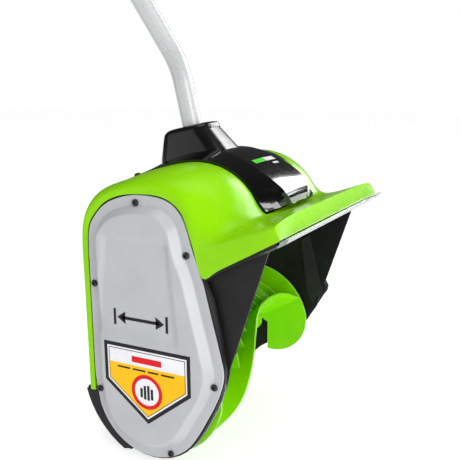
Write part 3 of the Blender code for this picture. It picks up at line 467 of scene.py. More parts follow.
def refined(node, width, segments=2, angle=30, stray=None):
    """A CAD node's shape as a new piece, with its flat faces joined and its edges rounded.

    stray tells which of the mesh's points are doubles a little apart, to be joined first.
    """
    source = NODES[node]
    work = bmesh.new()
    work.from_mesh(source.data)
    bmesh.ops.remove_doubles(work, verts=work.verts, dist=0.000001)
    doubles = [vert for vert in work.verts if stray(vert.co)] if stray else []
    if doubles:
        bmesh.ops.pointmerge(work, verts=doubles, merge_co=doubles[0].co)
    back_edges = {e for e in work.edges if e.is_manifold and e.calc_face_angle() > FOLDED}
    for face in [f for f in work.faces if back_edges.issuperset(f.edges)]:
        longest = max(face.edges, key=lambda e: e.calc_length())
        bmesh.ops.rotate_edges(work, edges=[longest], use_ccw=False)
    bmesh.ops.dissolve_limit(work, angle_limit=FLAT, verts=work.verts, edges=work.edges)
    mesh = bpy.data.meshes.new(node + "_detailed")
    work.to_mesh(mesh)
    work.free()
    made = to_piece(node + "_detailed", mesh, SLOT_OF[node], [node], body=source["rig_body"])
    if width:
        bevel(made, width, segments, angle)
    return made


for node_name, node_object in NODES.items():
    node_object.data.materials.clear()
    node_object.data.materials.append(PAINTS[SLOT_OF[node_name]])
    shade(node_object.data, 30)


# The camera, at the photograph's viewing angle: its place in metres, and the directions of its own axes.

CAMERA_AT = (-0.8712, -0.5551, 0.5071)
CAMERA_RIGHT = (0.47251, -0.88126, -0.01086)
CAMERA_UP = (0.19226, 0.09104, 0.97711)
CAMERA_BACK = (-0.86010, -0.46378, 0.21245)

camera_data = bpy.data.cameras.new("camera")
camera_data.sensor_width, camera_data.lens = 36.0, 55.28
camera = in_scene("camera", camera_data)
axes = Matrix((CAMERA_RIGHT, CAMERA_UP, CAMERA_BACK)).transposed().to_4x4()
camera.matrix_world = Matrix.Translation(CAMERA_AT) @ axes
bpy.context.scene.camera = camera


# The housing.

HOUSING_RIM = [
    (-98, -22), (-98, 60), (-98, 130), (-98.5, 180), (-95, 212), (-82, 234), (-62, 250), (-38, 259.5),
    (-12, 263), (20, 263), (45, 255), (61, 240), (69, 217), (74, 203), (86, 198), (106, 204), (142, 218.5),
    (185, 234), (193, 221.5),
]
HOUSING_MIDDLE = [
    (-114, -24), (-115, 60), (-115.5, 130), (-115, 195), (-110, 225), (-100, 246), (-86, 258), (-58, 268),
    (-28, 279), (8, 288), (40, 290), (68, 284), (92, 271), (108, 255), (120, 237), (132, 228), (152, 231),
    (187, 243), (193, 221.5),
]
HOUSING_INNER_EDGE = [
    (-92.6, -22), (-92.6, 60), (-92.6, 130), (-92.6, 178), (-89.4, 210), (-77.5, 228.6), (-60, 244.2),
    (-37, 253.6), (-12, 257), (19, 257), (40, 250.4), (55, 236.5), (63.5, 215), (70, 195), (82.6, 160),
    (107, 173.5), (142, 192.8), (180, 213.8), (191, 219.8),
]
LIP_TIP, LIP_ROOT, LIP_FLARE = (192.6, 220.7), (79.0, 158.0), 16.0
FULL_DOME_X = 92.0
WALL = 2.5
BAY_HALF, BAY_REAR_LOW, BAY_FRONT_HIGH = 80.3, (-84.8, 200), (130, 360)


def flare(forward):
    share = (forward - LIP_ROOT[0]) / (LIP_TIP[0] - LIP_ROOT[0])
    return LIP_FLARE * min(1.0, max(0.0, share))


def housing_profile(points):
    """The profile made smooth, except at the lip's tip."""
    return spline(points[:-1], 4) + [mix(points[-2], points[-1], t) for t in (0.12, 0.4, 0.75, 1.0)]


def housing_row(x):
    share = min(1.0, (HALF_HEAD - x) / (HALF_HEAD - FULL_DOME_X))
    rise = math.sqrt(1 - (1 - share) ** 2)
    rim, middle = housing_profile(HOUSING_RIM), housing_profile(HOUSING_MIDDLE)
    return [(x + flare(f) * x / HALF_HEAD, f, u) for f, u in (mix(a, b, rise) for a, b in zip(rim, middle))]


def make_housing():
    curved = HALF_HEAD - FULL_DOME_X
    stations = [0, 20, 40, 60, 76, 84, FULL_DOME_X]
    stations += [HALF_HEAD - curved * (1 - math.sin(math.radians(a))) for a in range(6, 90, 6)] + [HALF_HEAD]
    rows = [housing_row(x) for x in stations]
    inner = housing_profile(HOUSING_INNER_EDGE)
    rim = housing_row(HALF_HEAD)
    for share, back in ((0.35, 0.25), (1.0, 0.8)):
        rows.append([(x - back, *mix((f, u), edge, share)) for (x, f, u), edge in zip(rim, inner)])
    left = [[(-x, f, u) for x, f, u in row] for row in reversed(rows[1:])]
    mesh = sheet("upper_housing_shell", left + rows)
    made = to_piece("upper_housing_shell", mesh, "green_housing", ["upper_housing"])
    thicken(made, WALL, -1.0)
    carve(made, plate_mesh("bay", bar(BAY_REAR_LOW, BAY_FRONT_HIGH), -BAY_HALF, BAY_HALF))
    shade(made.data, 38)
    bevel(made, 0.5, 2, 50)


# The motor cover, with a raised middle panel between two sloped facets.

COVER_EDGE = [
    (-83.4, 258.6), (-58, 268.6), (-28, 279.6), (8, 288.6), (40, 290.6), (68, 284.6), (92, 271.8),
    (108, 255.8), (119, 240.5), (128, 230.5),
]
COVER_PANEL = [
    (-83.4, 259.6), (-60, 275), (-28, 288), (10, 296.5), (46, 298), (74, 290), (104, 276), (130, 258),
    (136.5, 246), (139, 234),
]
PANEL_X = [30, 32, 34, 35, 37, 41, 45, 42, 34, 23]
COVER_SIDE, CROWN = 79.0, 0.8


def panel_lines():
    """The cover's edge and its panel's crease as smooth (x, forward, up) lines."""
    edge = spline([(COVER_SIDE, f, u) for f, u in COVER_EDGE], 6)
    crease = spline([(x, f, u) for x, (f, u) in zip(PANEL_X, COVER_PANEL)], 6)
    return edge, crease


def make_motor_cover():
    edge, crease = panel_lines()
    shares = (0.0, 0.03, 0.08, 0.3, 0.55, 0.8, 0.96, 1.0)
    rows = [[mix(a, b, share) for a, b in zip(edge, crease)] for share in shares]
    rows += [[(x * share, f, u + CROWN * (1 - share)) for x, f, u in crease] for share in (0.93, 0.5, 0.0)]
    mirrored = [[(-x, f, u) for x, f, u in row] for row in rows[:-1]]
    mesh = sheet("motor_cover_panel", mirrored + list(reversed(rows)))
    made = to_piece("motor_cover_panel", mesh, "gloss_black", ["motor_cover"], 12)
    thicken(made, WALL, 1.0)
    carve(made, closed_rings("hole", socket_rings(1.0)[:3]))
    shade(made.data, 40)
    bevel(made, 0.7, 3, 9)


# The tube socket, and the line that the shaft follows out of it.

SOCKET_MIDDLE, SOCKET_HALF = -4.0, (61.0, 38.0)
SOCKET_FOOT, SOCKET_SHOULDER, SOCKET_TOP = 256, 284, 331.0
BEND = (-43.7, 415.1)
LOWER_LEAN, UPPER_LEAN = math.radians(12.7), math.radians(33.7)
SLOPE = math.tan(LOWER_LEAN)
BEND_R = 130.0
TUBE_R = 14.0


def rounded_ring(middle, half, corner):
    """A rectangle with round corners, as (forward, x) points."""
    points = []
    for quarter, (a, b) in enumerate([(1, 1), (-1, 1), (-1, -1), (1, -1)]):
        centre = (middle + a * (half[0] - corner), b * (half[1] - corner))
        start = quarter * math.pi / 2
        points += arc(centre, corner, start, start + math.pi / 2, 10)
    return points


def lower_line(up):
    return (BEND[0] + (BEND[1] - up) * SLOPE, up)


def along_upper(distance, off=0.0):
    """The (forward, up) point at a distance along the upper shaft from the bend, and off its line."""
    lean_sin, lean_cos = math.sin(UPPER_LEAN), math.cos(UPPER_LEAN)
    return (BEND[0] - distance * lean_sin + off * lean_cos, BEND[1] + distance * lean_cos + off * lean_sin)


def socket_rings(shrink=0.0):
    """The socket's outer rings, from its foot to its rounded top. shrink pulls them all inwards."""
    middle = lower_line(SOCKET_TOP)[0]
    foot = rounded_ring(SOCKET_MIDDLE, (SOCKET_HALF[0] - shrink, SOCKET_HALF[1] - shrink), 24)
    rings = [[(x, f, level) for f, x in foot] for level in (SOCKET_FOOT, SOCKET_SHOULDER)]
    for below_top, long_half, wide_half, corner, back in (
            (10, 38.2, 29.2, 20, 1), (6, 37.6, 28.6, 20, 0.7), (3, 35.8, 26.9, 19, 0.3),
            (1, 33.0, 24.1, 17, 0), (0.1, 29.0, 20.4, 15, 0), (0, 24, 18, 14, 0)):
        centre = middle - back
        ring = rounded_ring(centre, (long_half - shrink, wide_half - shrink), corner)
        rings.append([(x, f, SOCKET_TOP - below_top + (f - centre) * SLOPE) for f, x in ring])
    return rings


def make_socket():
    """The socket's outside, and the bore that the tube stands in."""
    middle = lower_line(SOCKET_TOP)[0]
    angles = [math.atan2(x, f) for f, x in rounded_ring(0.0, (38, 29), 20)]
    rings = socket_rings()
    for level, radius in ((330.8, 16.2), (330.2, 14.9), (328, 14.35), (290, 14.35)):
        reaches = [(radius * math.sin(a), radius * math.cos(a)) for a in angles]
        rings.append([(x, middle + forward, level + forward * SLOPE) for x, forward in reaches])
    to_piece("tube_socket_boss", closed_rings("tube_socket_boss", rings), "gloss_black", ["tube_socket"], 30,
             paint=SATIN_BLACK)


# The grey belt cover.

LOBE_CENTRE, LOBE_R = (-4.0, -16.0), 83.0
COVER_REAR = -89.0
FRONT_LOWER = [(75, -46), (90, -18)]
COVER_FRONT = [
    (98, 0), (104, 17), (107.6, 31), (108, 42), (106, 53), (99.3, 80), (92.5, 106), (85.7, 133), (78.5, 160),
]
COVER_TOP = [
    (66, 194), (60, 214), (52, 233), (38, 247), (18, 253.5), (-12, 254.5), (-36, 250), (-58, 241), (-75, 226),
    (-86, 208), (-89, 180),
]
COVER_SCREWS = [(-11.8, 246.5), (61.0, 186.0), (-83.2, 132.7), (-82.5, -17.1), (97.4, 20.8), (29.7, -87.0)]
COVER_DEPTHS = [
    0.5, 1.2, 6, 11, 12, 12.8, 13.6, 14.6, 17.5, 20.5, 21.4, 22.2, 23.2, 24.4, *range(26, 55, 2), 57, 60,
    *range(64, 81, 4), 86, 92, 400,
]
FIELD_RISE, POCKET_DEPTH, POCKET_LOW, POCKET_TOP = 12.0, 3.5, 63, 204
SPINE_TOP = 160.0


def cover_outline():
    rear = [(COVER_REAR, level) for _, level in reversed(COVER_FRONT)]
    lobe = arc(LOBE_CENTRE, LOBE_R, math.radians(-168), math.radians(-38), 14)
    outline = spline(lobe + FRONT_LOWER + COVER_FRONT + COVER_TOP + rear, 5, True)
    grown = inset(outline, -1.6)
    return [mix(a, b, ease((a[1] + 30) / 50)) for a, b in zip(outline, grown)]


def cover_rise(f, u, edge):
    """How far the cover's face stands out: a raised field, with a crisp pocket in its upper part.

    edge is the distance from the cover's rim. The pocket widens downwards.
    """
    field = FIELD_RISE * crisp((edge - 12.0) / 11.0)
    across = (f + 10 + (200 - u) * 0.02) / (52 + (200 - u) * 0.12)
    pocket_side = crisp((1.0 - abs(across)) * 6.5)
    pocket_ends = crisp((POCKET_TOP - u) / 7.0) * crisp((u - POCKET_LOW) / 14.0)
    return field - POCKET_DEPTH * pocket_side * pocket_ends


def cover_row(outline, depth, x_at):
    """The outline drawn in towards the cover's spine by a depth, at the x that x_at gives."""
    row = []
    for f, u in outline:
        level = min(SPINE_TOP, max(0.0, u))
        hub = (-6.0 * level / SPINE_TOP, level)
        away = math.hypot(f - hub[0], u - hub[1])
        share = max(0.0, (away - depth) / away)
        spot = mix(hub, (f, u), share)
        row.append((x_at(*spot, depth), *spot))
    return row


def make_belt_cover():
    outline = cover_outline()

    def outer(f, u, depth):
        return -HALF_HEAD - cover_rise(f, u, depth)

    rows = [
        cover_row(outline, 0, lambda f, u, depth: -159.2),
        cover_row(outline, 0, lambda f, u, depth: 1.0 - HALF_HEAD),
        cover_row(outline, 0.35, lambda f, u, depth: 0.3 - HALF_HEAD),
    ]
    rows += [cover_row(outline, depth, outer) for depth in COVER_DEPTHS]
    mesh = welded_rings("belt_cover_panel", [[place(*p) for p in row] for row in rows])
    to_piece("belt_cover_panel", mesh, "grey_cover", ["belt_cover"], 40)


# Screws. A turned shape ends in a tip too small to see instead of a single point.

TIP_R = 0.02


def screw_head(name, spot, axis, radius, rise, node, spin=0.0):
    """A pan-head screw with a hexagon socket and a washer face."""
    profile = [
        (TIP_R, rise * 0.35), (radius * 0.42, rise * 0.35), (radius * 0.42, rise), (radius * 0.62, rise),
        (radius * 0.82, rise * 0.86), (radius * 0.95, rise * 0.6), (radius, rise * 0.3), (radius, 0.0),
        (radius * 0.4, 0.0), (radius * 0.4, -6.0), (TIP_R, -6.0),
    ]
    socket_levels, side = (1, 2), math.pi / 3
    turn = turn_to(axis)
    rings = []
    for level, (r, h) in enumerate(profile):
        ring = []
        for angle in turns(48):
            reach = r
            if level in socket_levels:
                reach = r * math.cos(side / 2) / math.cos((angle + spin) % side - side / 2)
            ring.append(spot + turn @ Vector((reach * math.cos(angle), reach * math.sin(angle), h)) * MM)
        rings.append(ring)
    to_piece(name, welded_rings(name, rings), "black_screws", [node])


def make_screws():
    for number, (f, u) in enumerate(COVER_SCREWS, 1):
        screw_head(f"cover_screw_{number}_head", place(-HALF_HEAD - 0.3, f, u), (-1, 0, 0), 4.6, 2.8,
                   f"cover_screw_{number}", number * 0.7)
    for side, word in SIDES:
        screw_head(f"housing_screw_{word}_head", place(side * 108, -46, 272.4), (0, 0.34, 0.94), 4.4, 2.6,
                   f"housing_screw_{word}", side * 0.4)
    for number, (along, off) in enumerate([(22, 16.5), (84, -36), (190, -50)], 1):
        where = along_upper(HANDLE_AT + along, off)
        screw_head(f"handle_screw_{number}_head", place(-HANDLE_HALF - 0.3, *where), (-1, 0, 0), 3.6, 2.0,
                   f"handle_screw_{number}", number)


# The shaft.

BORE_R = TUBE_R - 1.5


def headings(spots):
    """The direction of a path at each of its points."""
    last = len(spots) - 1
    return [(spots[min(i + 1, last)] - spots[max(i - 1, 0)]).normalized() for i in range(len(spots))]


def ring_at(spot, side, up, radius, steps):
    return [spot + (side * math.cos(a) + up * math.sin(a)) * radius * MM for a in turns(steps)]


def tube_mesh(name, points):
    """The shaft's round tube along (forward, up) points in the middle plane."""
    spots = [place(0, *p) for p in points]
    side = Vector((1, 0, 0))
    ways = [(spot, side, ahead.cross(side)) for spot, ahead in zip(spots, headings(spots))]
    levels = [(ways[0], BORE_R), *[(way, TUBE_R) for way in ways]]
    levels += [(way, BORE_R) for way in (ways[-1], *reversed(ways))]
    return welded_rings(name, [ring_at(*way, radius, 48) for way, radius in levels])


def bend_points():
    half = (UPPER_LEAN - LOWER_LEAN) / 2
    tangent = BEND_R * math.tan(half)
    start = (BEND[0] + tangent * math.sin(LOWER_LEAN), BEND[1] - tangent * math.cos(LOWER_LEAN))
    centre = (start[0] - BEND_R * math.cos(LOWER_LEAN), start[1] - BEND_R * math.sin(LOWER_LEAN))
    return arc(centre, BEND_R, LOWER_LEAN, UPPER_LEAN, 16)


def make_shaft():
    lower = [lower_line(262), *bend_points(), along_upper(COUPLER_AT - 1)]
    upper = [along_upper(COUPLER_AT), along_upper(HANDLE_AT + 50)]
    for node, points in (("lower_tube", lower), ("upper_tube", upper)):
        to_piece(f"{node}_painted", tube_mesh(f"{node}_painted", points), "tube_paint", [node], 50)


# The rotor.

ROTOR_R, ROTOR_HALF, HUB_R = 98.0, 143.0, 17.0
FLIGHT_STEPS = [
    (-1.0, -58), (-0.86, -50), (-0.66, -44), (-0.54, -28), (-0.46, -6), (-0.34, 10), (-0.2, 24),
    (0.0, 37), (0.2, 44), (0.45, 46), (0.7, 44), (0.86, 38), (1.0, 30),
]


def flight_angle(along):
    for (a, low), (b, high) in zip(FLIGHT_STEPS, FLIGHT_STEPS[1:]):
        if along <= b:
            return low + (high - low) * (along - a) / (b - a)
    return FLIGHT_STEPS[-1][1]


def soft_flight_angle(along):
    """The flight's direction with its corners rounded off."""
    near = [min(1.0, max(-1.0, along + shift * 0.045)) for shift in (-1, -0.5, 0, 0.5, 1)]
    return sum(flight_angle(a) for a in near) / len(near)


def polar(x, radius, degrees):
    angle = math.radians(degrees)
    return (x, radius * math.cos(angle), radius * math.sin(angle))


def rotor_piece(name, mesh, angle=30, replaces=()):
    return to_piece(name, mesh, "rotor_green", replaces, angle, "rotor")


def make_flight(number):
    """One S-shaped paddle. The second is the first one turned by half a turn end over end."""
    count = 72
    rows = []
    radii = [11, 24, 40, 56, 72, 84, 91, 94, ROTOR_R - 1.5]
    for i in range(count + 1):
        along = -1 + 2 * i / count
        angle = 183 - soft_flight_angle(-along) if number == 2 else soft_flight_angle(along)
        rows.append([polar(along * (ROTOR_HALF - 1.8), radius, angle) for radius in radii])
    made = rotor_piece(f"rotor_flight_{number}", sheet("flight", rows), 50, ["rotor"] if number == 1 else ())
    thicken(made, 3.4, 0.0)
    bevel(made, 0.9, 3, 50)
    apply_modifiers(made)


def end_plate(side, turn):
    """An end plate's spun outline, and the x values of its inner and outer faces."""
    outer = arc((0, 0), ROTOR_R, math.radians(22), math.radians(82), 24)
    lower = arc((36.0, 13.0), 60.0, math.radians(-98), math.radians(12), 30)
    points = lower + outer + [(0, HUB_R - 3), (28, 0)]
    if side < 0:
        points = [(f, -u) for f, u in reversed(points)]
    sine, cosine = math.sin(turn), math.cos(turn)
    spun = [(f * cosine - u * sine, f * sine + u * cosine) for f, u in points]
    x = side * ROTOR_HALF
    return spun, x - side * 3.0, x


def make_rotor():
    make_flight(1)
    make_flight(2)
    for number, (side, turn) in enumerate(((1, 0.0), (1, math.pi), (-1, 0.0), (-1, math.pi)), 1):
        plate = plate_mesh("end", *end_plate(side, turn), 2)
        bevel(rotor_piece(f"rotor_end_plate_{number}", plate), 0.7)
    end, bore = ROTOR_HALF - 1, 6.3
    hub = [(bore, end), (HUB_R - 0.8, end), (HUB_R, end - 0.8)]
    for x in range(120, -121, -40):
        hub += [(HUB_R, x + 3.0), (HUB_R + 1.6, x + 2.0), (HUB_R + 1.6, x - 2.0), (HUB_R, x - 3.0)]
    hub += [(HUB_R, 0.8 - end), (HUB_R - 0.8, -end), (bore, -end), (bore, end)]
    rotor_piece("rotor_hub", turned_mesh("hub", hub, place(0, 0, 0), (1, 0, 0), 64))
    for half in (0, 1):
        for number, x in enumerate(range(-58, 122, 22)):
            along = x / ROTOR_HALF
            start, sweep = (183 - flight_angle(along), -1) if half else (flight_angle(along), 1)
            spot = -x if half else x
            first, last = sorted((start - 2 * sweep, start + 62 * sweep))
            sector = arc((0, 0), 78.0, math.radians(first), math.radians(last), 24)
            core = arc((0, 0), HUB_R - 3, math.radians(last), math.radians(first), 8)
            rib = plate_mesh("rib", sector + core, spot - 1.3, spot + 1.3, 2)
            bevel(rotor_piece(f"rotor_rib_{half + 1}_{number + 1}", rib), 0.45)


# The printed badge and marks, with no lettering.

BADGE_X = -HALF_HEAD - FIELD_RISE


def mark(name, outline, lift, ink, thickness=0.12):
    """A thin printed shape on the belt cover, whose back is lifted off the raised field."""
    x = BADGE_X - lift
    to_piece(name, plate_mesh(name, outline, x, x - thickness), None, (), 20, paint=VINYL[ink])


def pentagon(shrink):
    centre, half, top, side, drop = 3.5, 66.5, 60.8, 54.7, 51.2
    points = [(centre - half, top - side), (centre, top - side - drop), (centre + half, top - side),
              (centre + half, top), (centre - half, top)]
    return inset(points, shrink)


def make_badge():
    mark("badge_border", pentagon(0.0), -0.3, "black", 0.42)
    mark("badge_white_line", pentagon(5.2), 0.02, "white")
    mark("badge_thin_line", pentagon(7.4), 0.06, "black")
    inner = pentagon(8.4)
    mark("badge_field", inner, 0.1, "yellow")
    left, right, top = inner[0][0], inner[2][0], inner[3][1]
    mark("badge_band", bar((left, top - 19.0), (right, top)), 0.14, "white")
    mark("badge_band_bar", bar((-19.0, top - 14.5), (27.0, top - 6.0)), 0.18, "red")
    for number, (start, stop) in enumerate([(-42, -22), (-18, 2), (6, 22), (26, 46)], 1):
        mark(f"badge_dash_{number}", bar((start, top - 25.5), (stop, top - 23.0)), 0.14, "black")
    centre, full = (3.0, -0.5), 2 * math.pi * 63 / 64
    mark("badge_ring", arc(centre, 24.0, 0, full, 64), 0.14, "red")
    mark("badge_ring_middle", arc(centre, 18.6, 0, full, 64), 0.18, "white")
    bars = [(-8.2, -9, 4), (-2.8, -11, 8), (2.6, -11.5, 9), (8, -10, 5)]
    for number, (off, low, high) in enumerate(bars, 1):
        outline = bar((centre[0] + off - 1.9, low), (centre[0] + off + 1.9, high))
        mark(f"badge_bar_{number}", outline, 0.22, "black")


def make_width_mark():
    """A plain width sign in the pocket: a double arrow between two ticks."""
    low, high, middle, half = 84.0, 106.0, 95.0, 42.0
    start, stop = -half, half - 11.0
    for name, outline in (
            ("tick_rear", bar((start - 5.6, low), (start - 1.8, high))),
            ("tick_front", bar((stop + 1.8, low), (stop + 5.6, high))),
            ("line", bar((start + 8, middle - 2.2), (stop - 8, middle + 2.2))),
            ("arrow_rear", [(start, middle), (start + 13, middle - 8.5), (start + 13, middle + 8.5)]),
            ("arrow_front", [(stop, middle), (stop - 13, middle + 8.5), (stop - 13, middle - 8.5)])):
        mark(f"width_{name}", outline, -POCKET_DEPTH - 0.02, "black")


def panel_patch(name, x_low, x_high, t_low, t_high, ink):
    """A printed bar on the motor cover's middle panel. The t values run along the panel's crease line."""
    crease = panel_lines()[1]
    count, width = 5, 9
    rows = []
    for lift in (WALL - 0.3, WALL + 0.08):
        for i in range(count):
            t = t_low + (t_high - t_low) * i / (count - 1)
            index = min(len(crease) - 2, int(t))
            here, there = crease[index], crease[index + 1]
            x_wide, f, u = mix(here, there, t - index)
            slope = Vector((there[1] - here[1], there[2] - here[2])).normalized()
            row = []
            for j in range(width):
                x = x_low + (x_high - x_low) * j / (width - 1)
                crown = CROWN * (1 - min(1.0, abs(x) / x_wide))
                row.append((x, f - slope.y * lift, u + crown + slope.x * lift))
            rows.append(row)
    size = count * width
    faces = grid_faces(count, width)
    faces += [tuple(i + size for i in face) for face in faces]
    rim = [*range(width), *range(2 * width - 1, size, width)]
    rim += [*range(size - 2, size - width - 1, -1), *range(size - 2 * width, 0, -width)]
    faces += [(here, there, there + size, here + size) for here, there in zip(rim, rim[1:] + rim[:1])]
    mesh = mesh_of(name, [place(*p) for row in rows for p in row], faces)
    to_piece(name, mesh, None, (), 40, paint=VINYL[ink])


def make_panel_marks():
    panel_patch("panel_mark_green", -29, 0, 31.7, 33.2, "green")
    panel_patch("panel_mark_white", 2, 32, 31.7, 33.2, "white")
    panel_patch("panel_mark_small", 10, 26, 34.1, 34.8, "white")


def make_lip_backing():
    """The black bands under the lip's two side edges, joined by the plate behind the clear strip."""
    slope = (LIP_TIP[1] - LIP_ROOT[1]) / (LIP_TIP[0] - LIP_ROOT[0])
    for side, word in SIDES:
        rings = []
        for forward in (84, 100, 120, 150, 187):
            top = LIP_ROOT[1] + (forward - LIP_ROOT[0]) * slope - 0.5
            out = HALF_HEAD - 0.9 + flare(forward)
            rings.append([(side * x, forward, top - drop) for x, drop in (
                (out, 0), (out, 3.4), (out - 1.0, 4.2), (151.5, 6.8), (151.5, 0))])
        piece = to_piece(f"deflector_band_{word}", closed_rings("band", rings), "black_plastic", (), 30)
        bevel(piece, 0.3)


# The upper shaft's parts. Points on them are written as (along, off), from the bend or from where the rear
# handle starts, and from the shaft's own line.

COUPLER_AT, ASSIST_AT, HANDLE_AT, ASSIST_LIFT = 173.0, 285.0, 375.0, 34.0
KNOB_R, LOBE_RISE = 15.0, 1.8
BOW_R, BOW_REACH, SLEEVE_R, SLEEVE_HALF = 11.0, 150.0, 14.0, 42.0
HANDLE_HALF, BAY_SIDE, BAY_FROM, GRIP_REAR = 19.0, 45.0, 220.0, -38.0
PACK_SIDE, PACK_END, GROOVE = 41.4, 337.0, 0.9
SPRING_AT, SPRING_FROM, SPRING_TO, COIL_R = 130.6, 17.6, 34.0, 3.0


def swept_mesh(name, points, radius, steps=40):
    """A round bar along (x, forward, up) points."""
    spots = [place(*p) for p in points]
    side = None
    rings = []
    for spot, ahead in zip(spots, headings(spots)):
        side = (side - ahead * side.dot(ahead)).normalized() if side else ahead.orthogonal().normalized()
        rings.append(ring_at(spot, side, ahead.cross(side), radius, steps))
    return capped_rings(name, rings)


def rounded_path(points, reaches):
    """A path whose corners are rounded over the given reach on both sides."""
    count = 9
    made = [points[0]]
    for before, here, after, reach in zip(points, points[1:], points[2:], reaches):
        start = mix(here, before, reach / (Vector(before) - Vector(here)).length)
        stop = mix(here, after, reach / (Vector(after) - Vector(here)).length)
        shares = [i / count for i in range(count + 1)]
        made += [mix(mix(start, here, t), mix(here, stop, t), t) for t in shares]
    return made + [points[-1]]


def make_knob(name, spot, foot, bolt_r, bolt_to):
    """A five-lobed hand knob with a dished face, and its bolt."""
    rings = []
    for size, lobes, level in (
            (0.5, 0.0, 0.3), (0.87, 0.6, 0.0), (0.96, 0.9, 0.8), (1.0, 1.0, 2.4), (1.0, 1.0, 11.2),
            (0.985, 1.0, 12.4), (0.94, 0.9, 13.4), (0.86, 0.7, 13.95), (0.74, 0.3, 14.0), (0.62, 0.0, 13.7),
            (0.55, 0.0, 12.6), (0.3, 0.0, 12.2)):
        ring = []
        for angle in turns(90):
            radius = KNOB_R * size + LOBE_RISE * lobes * math.cos(5 * angle)
            reach = (radius * math.cos(angle), radius * math.sin(angle))
            ring.append((foot + level, spot[0] + reach[0], spot[1] + reach[1]))
        rings.append(ring)
    to_piece(f"{name}_head", closed_rings(name, rings), "black_plastic", [name], 45, name)
    length = foot + 4 - bolt_to
    profile = [(TIP_R, length), (bolt_r, length), (bolt_r, 0.8), (bolt_r - 0.8, 0.0), (TIP_R, 0.0)]
    bolt = turned_mesh("bolt", profile, place(bolt_to, *spot), (1, 0, 0), 32)
    to_piece(f"{name}_bolt", bolt, "black_screws", (), 30, name)


def ribs(radius, depth, levels, wide, narrow):
    """The part of a turned profile that has a groove around it at each level."""
    made = []
    for level in levels:
        made += [(radius, level + wide), (radius - depth, level + narrow), (radius - depth, level - narrow),
                 (radius, level - wide)]
    return made


def make_assist_handle():
    pivot = along_upper(ASSIST_AT, ASSIST_LIFT)
    half = [(36.0, 8.0), (38.5, 31.0), (78.0, 64.0), (84.5, BOW_REACH)]
    path = rounded_path([*half, *[(-x, n) for x, n in reversed(half)]], (17, 22, 34, 34, 22, 17))
    bow = [(x, *along_upper(ASSIST_AT, ASSIST_LIFT + n)) for x, n in path]
    mesh = swept_mesh("bow", bow, BOW_R)
    to_piece("assist_bow_bar", mesh, "black_plastic", ["assist_bow"], 40, "assist_handle")
    eye = [(4.3, 25.7), (14.6, 25.7), (16.0, 24.3), *ribs(16.0, 0.8, (20.5, 16.0, 11.5, 7.0), 1.6, 0.9),
           (16.0, 0.8), (15.2, 0.0), (4.3, 0.0), (4.3, 25.7)]
    for side, word in SIDES:
        mesh = turned_mesh("eye", eye, place(side * 22.3, *pivot), (side, 0, 0), 56)
        to_piece(f"assist_eye_{word}", mesh, "black_plastic", (), 30, "assist_handle")
    end = SLEEVE_HALF
    sleeve = [(11.3, end), (SLEEVE_R - 1, end), (SLEEVE_R, end - 1),
              *ribs(SLEEVE_R, 0.8, range(35, -36, -7), 1.9, 1.1),
              (SLEEVE_R, 1 - end), (SLEEVE_R - 1, -end), (11.3, -end), (11.3, end)]
    middle = place(0, *along_upper(ASSIST_AT, ASSIST_LIFT + BOW_REACH))
    to_piece("assist_grip_ribbed", turned_mesh("sleeve", sleeve, middle, (1, 0, 0), 56), "soft_grip",
             ["assist_grip_sleeve"], 30, "assist_handle")
    make_knob("assist_knob", pivot, 48.3, 4.0, -52.0)
    make_knob("coupler_knob", along_upper(COUPLER_AT, -39.5), 13.3, 3.0, -15.0)
    for node in ("assist_clamp_upper", "assist_clamp_lower", "shaft_coupler"):
        refined(node, 0.7, 3)


def along_box(name, x_low, x_high, low, high, rims=1):
    """A block between two opposite (along, off) corners, from where the rear handle starts."""
    outline = [along_upper(HANDLE_AT + along, off) for along, off in bar(low, high)]
    return plate_mesh(name, outline, x_low, x_high, rims)


def grooves(obj, x_low, x_high, starts, width, off_low, off_high):
    """Cuts a shallow groove into a piece at each start along the shaft."""
    for start in starts:
        carve(obj, along_box("groove", x_low, x_high, (start, off_low), (start + width, off_high)))


def side_grooves(obj, side, half, depth, *places):
    """The same in a flat side, which is half away from the middle."""
    grooves(obj, *sorted((side * (half - depth), side * (half + 2))), *places)


def at_bay_corner(point):
    """Whether a point is on the short line where the grip's rear side runs into the battery's bay."""
    forward, up = AXLE_BACK - point.y / MM - BEND[0], point.z / MM - AXLE_UP - BEND[1]
    along = up * math.cos(UPPER_LEAN) - forward * math.sin(UPPER_LEAN) - HANDLE_AT
    off = forward * math.cos(UPPER_LEAN) + up * math.sin(UPPER_LEAN)
    on_side = abs(abs(point.x) / MM - HANDLE_HALF) < 0.1
    return on_side and abs(along - BAY_FROM) < 0.1 and GRIP_REAR - 5 < off < GRIP_REAR


def make_trigger_spring():
    """The trigger's coil spring, which the trigger squeezes."""
    rounds, per_round = 4, 24
    coil = []
    for i in range(rounds * per_round + 1):
        angle = 2 * math.pi * i / per_round
        off = SPRING_FROM + (SPRING_TO - SPRING_FROM) * i / (rounds * per_round)
        along = HANDLE_AT + SPRING_AT + COIL_R * math.cos(angle)
        coil.append((COIL_R * math.sin(angle), *along_upper(along, off)))
    spring = to_piece("trigger_coil_spring", swept_mesh("spring", coil, 0.45, 10), "bare_steel",
                      ["trigger_spring"], 50, NODES["trigger_spring"]["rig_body"])
    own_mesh(spring)


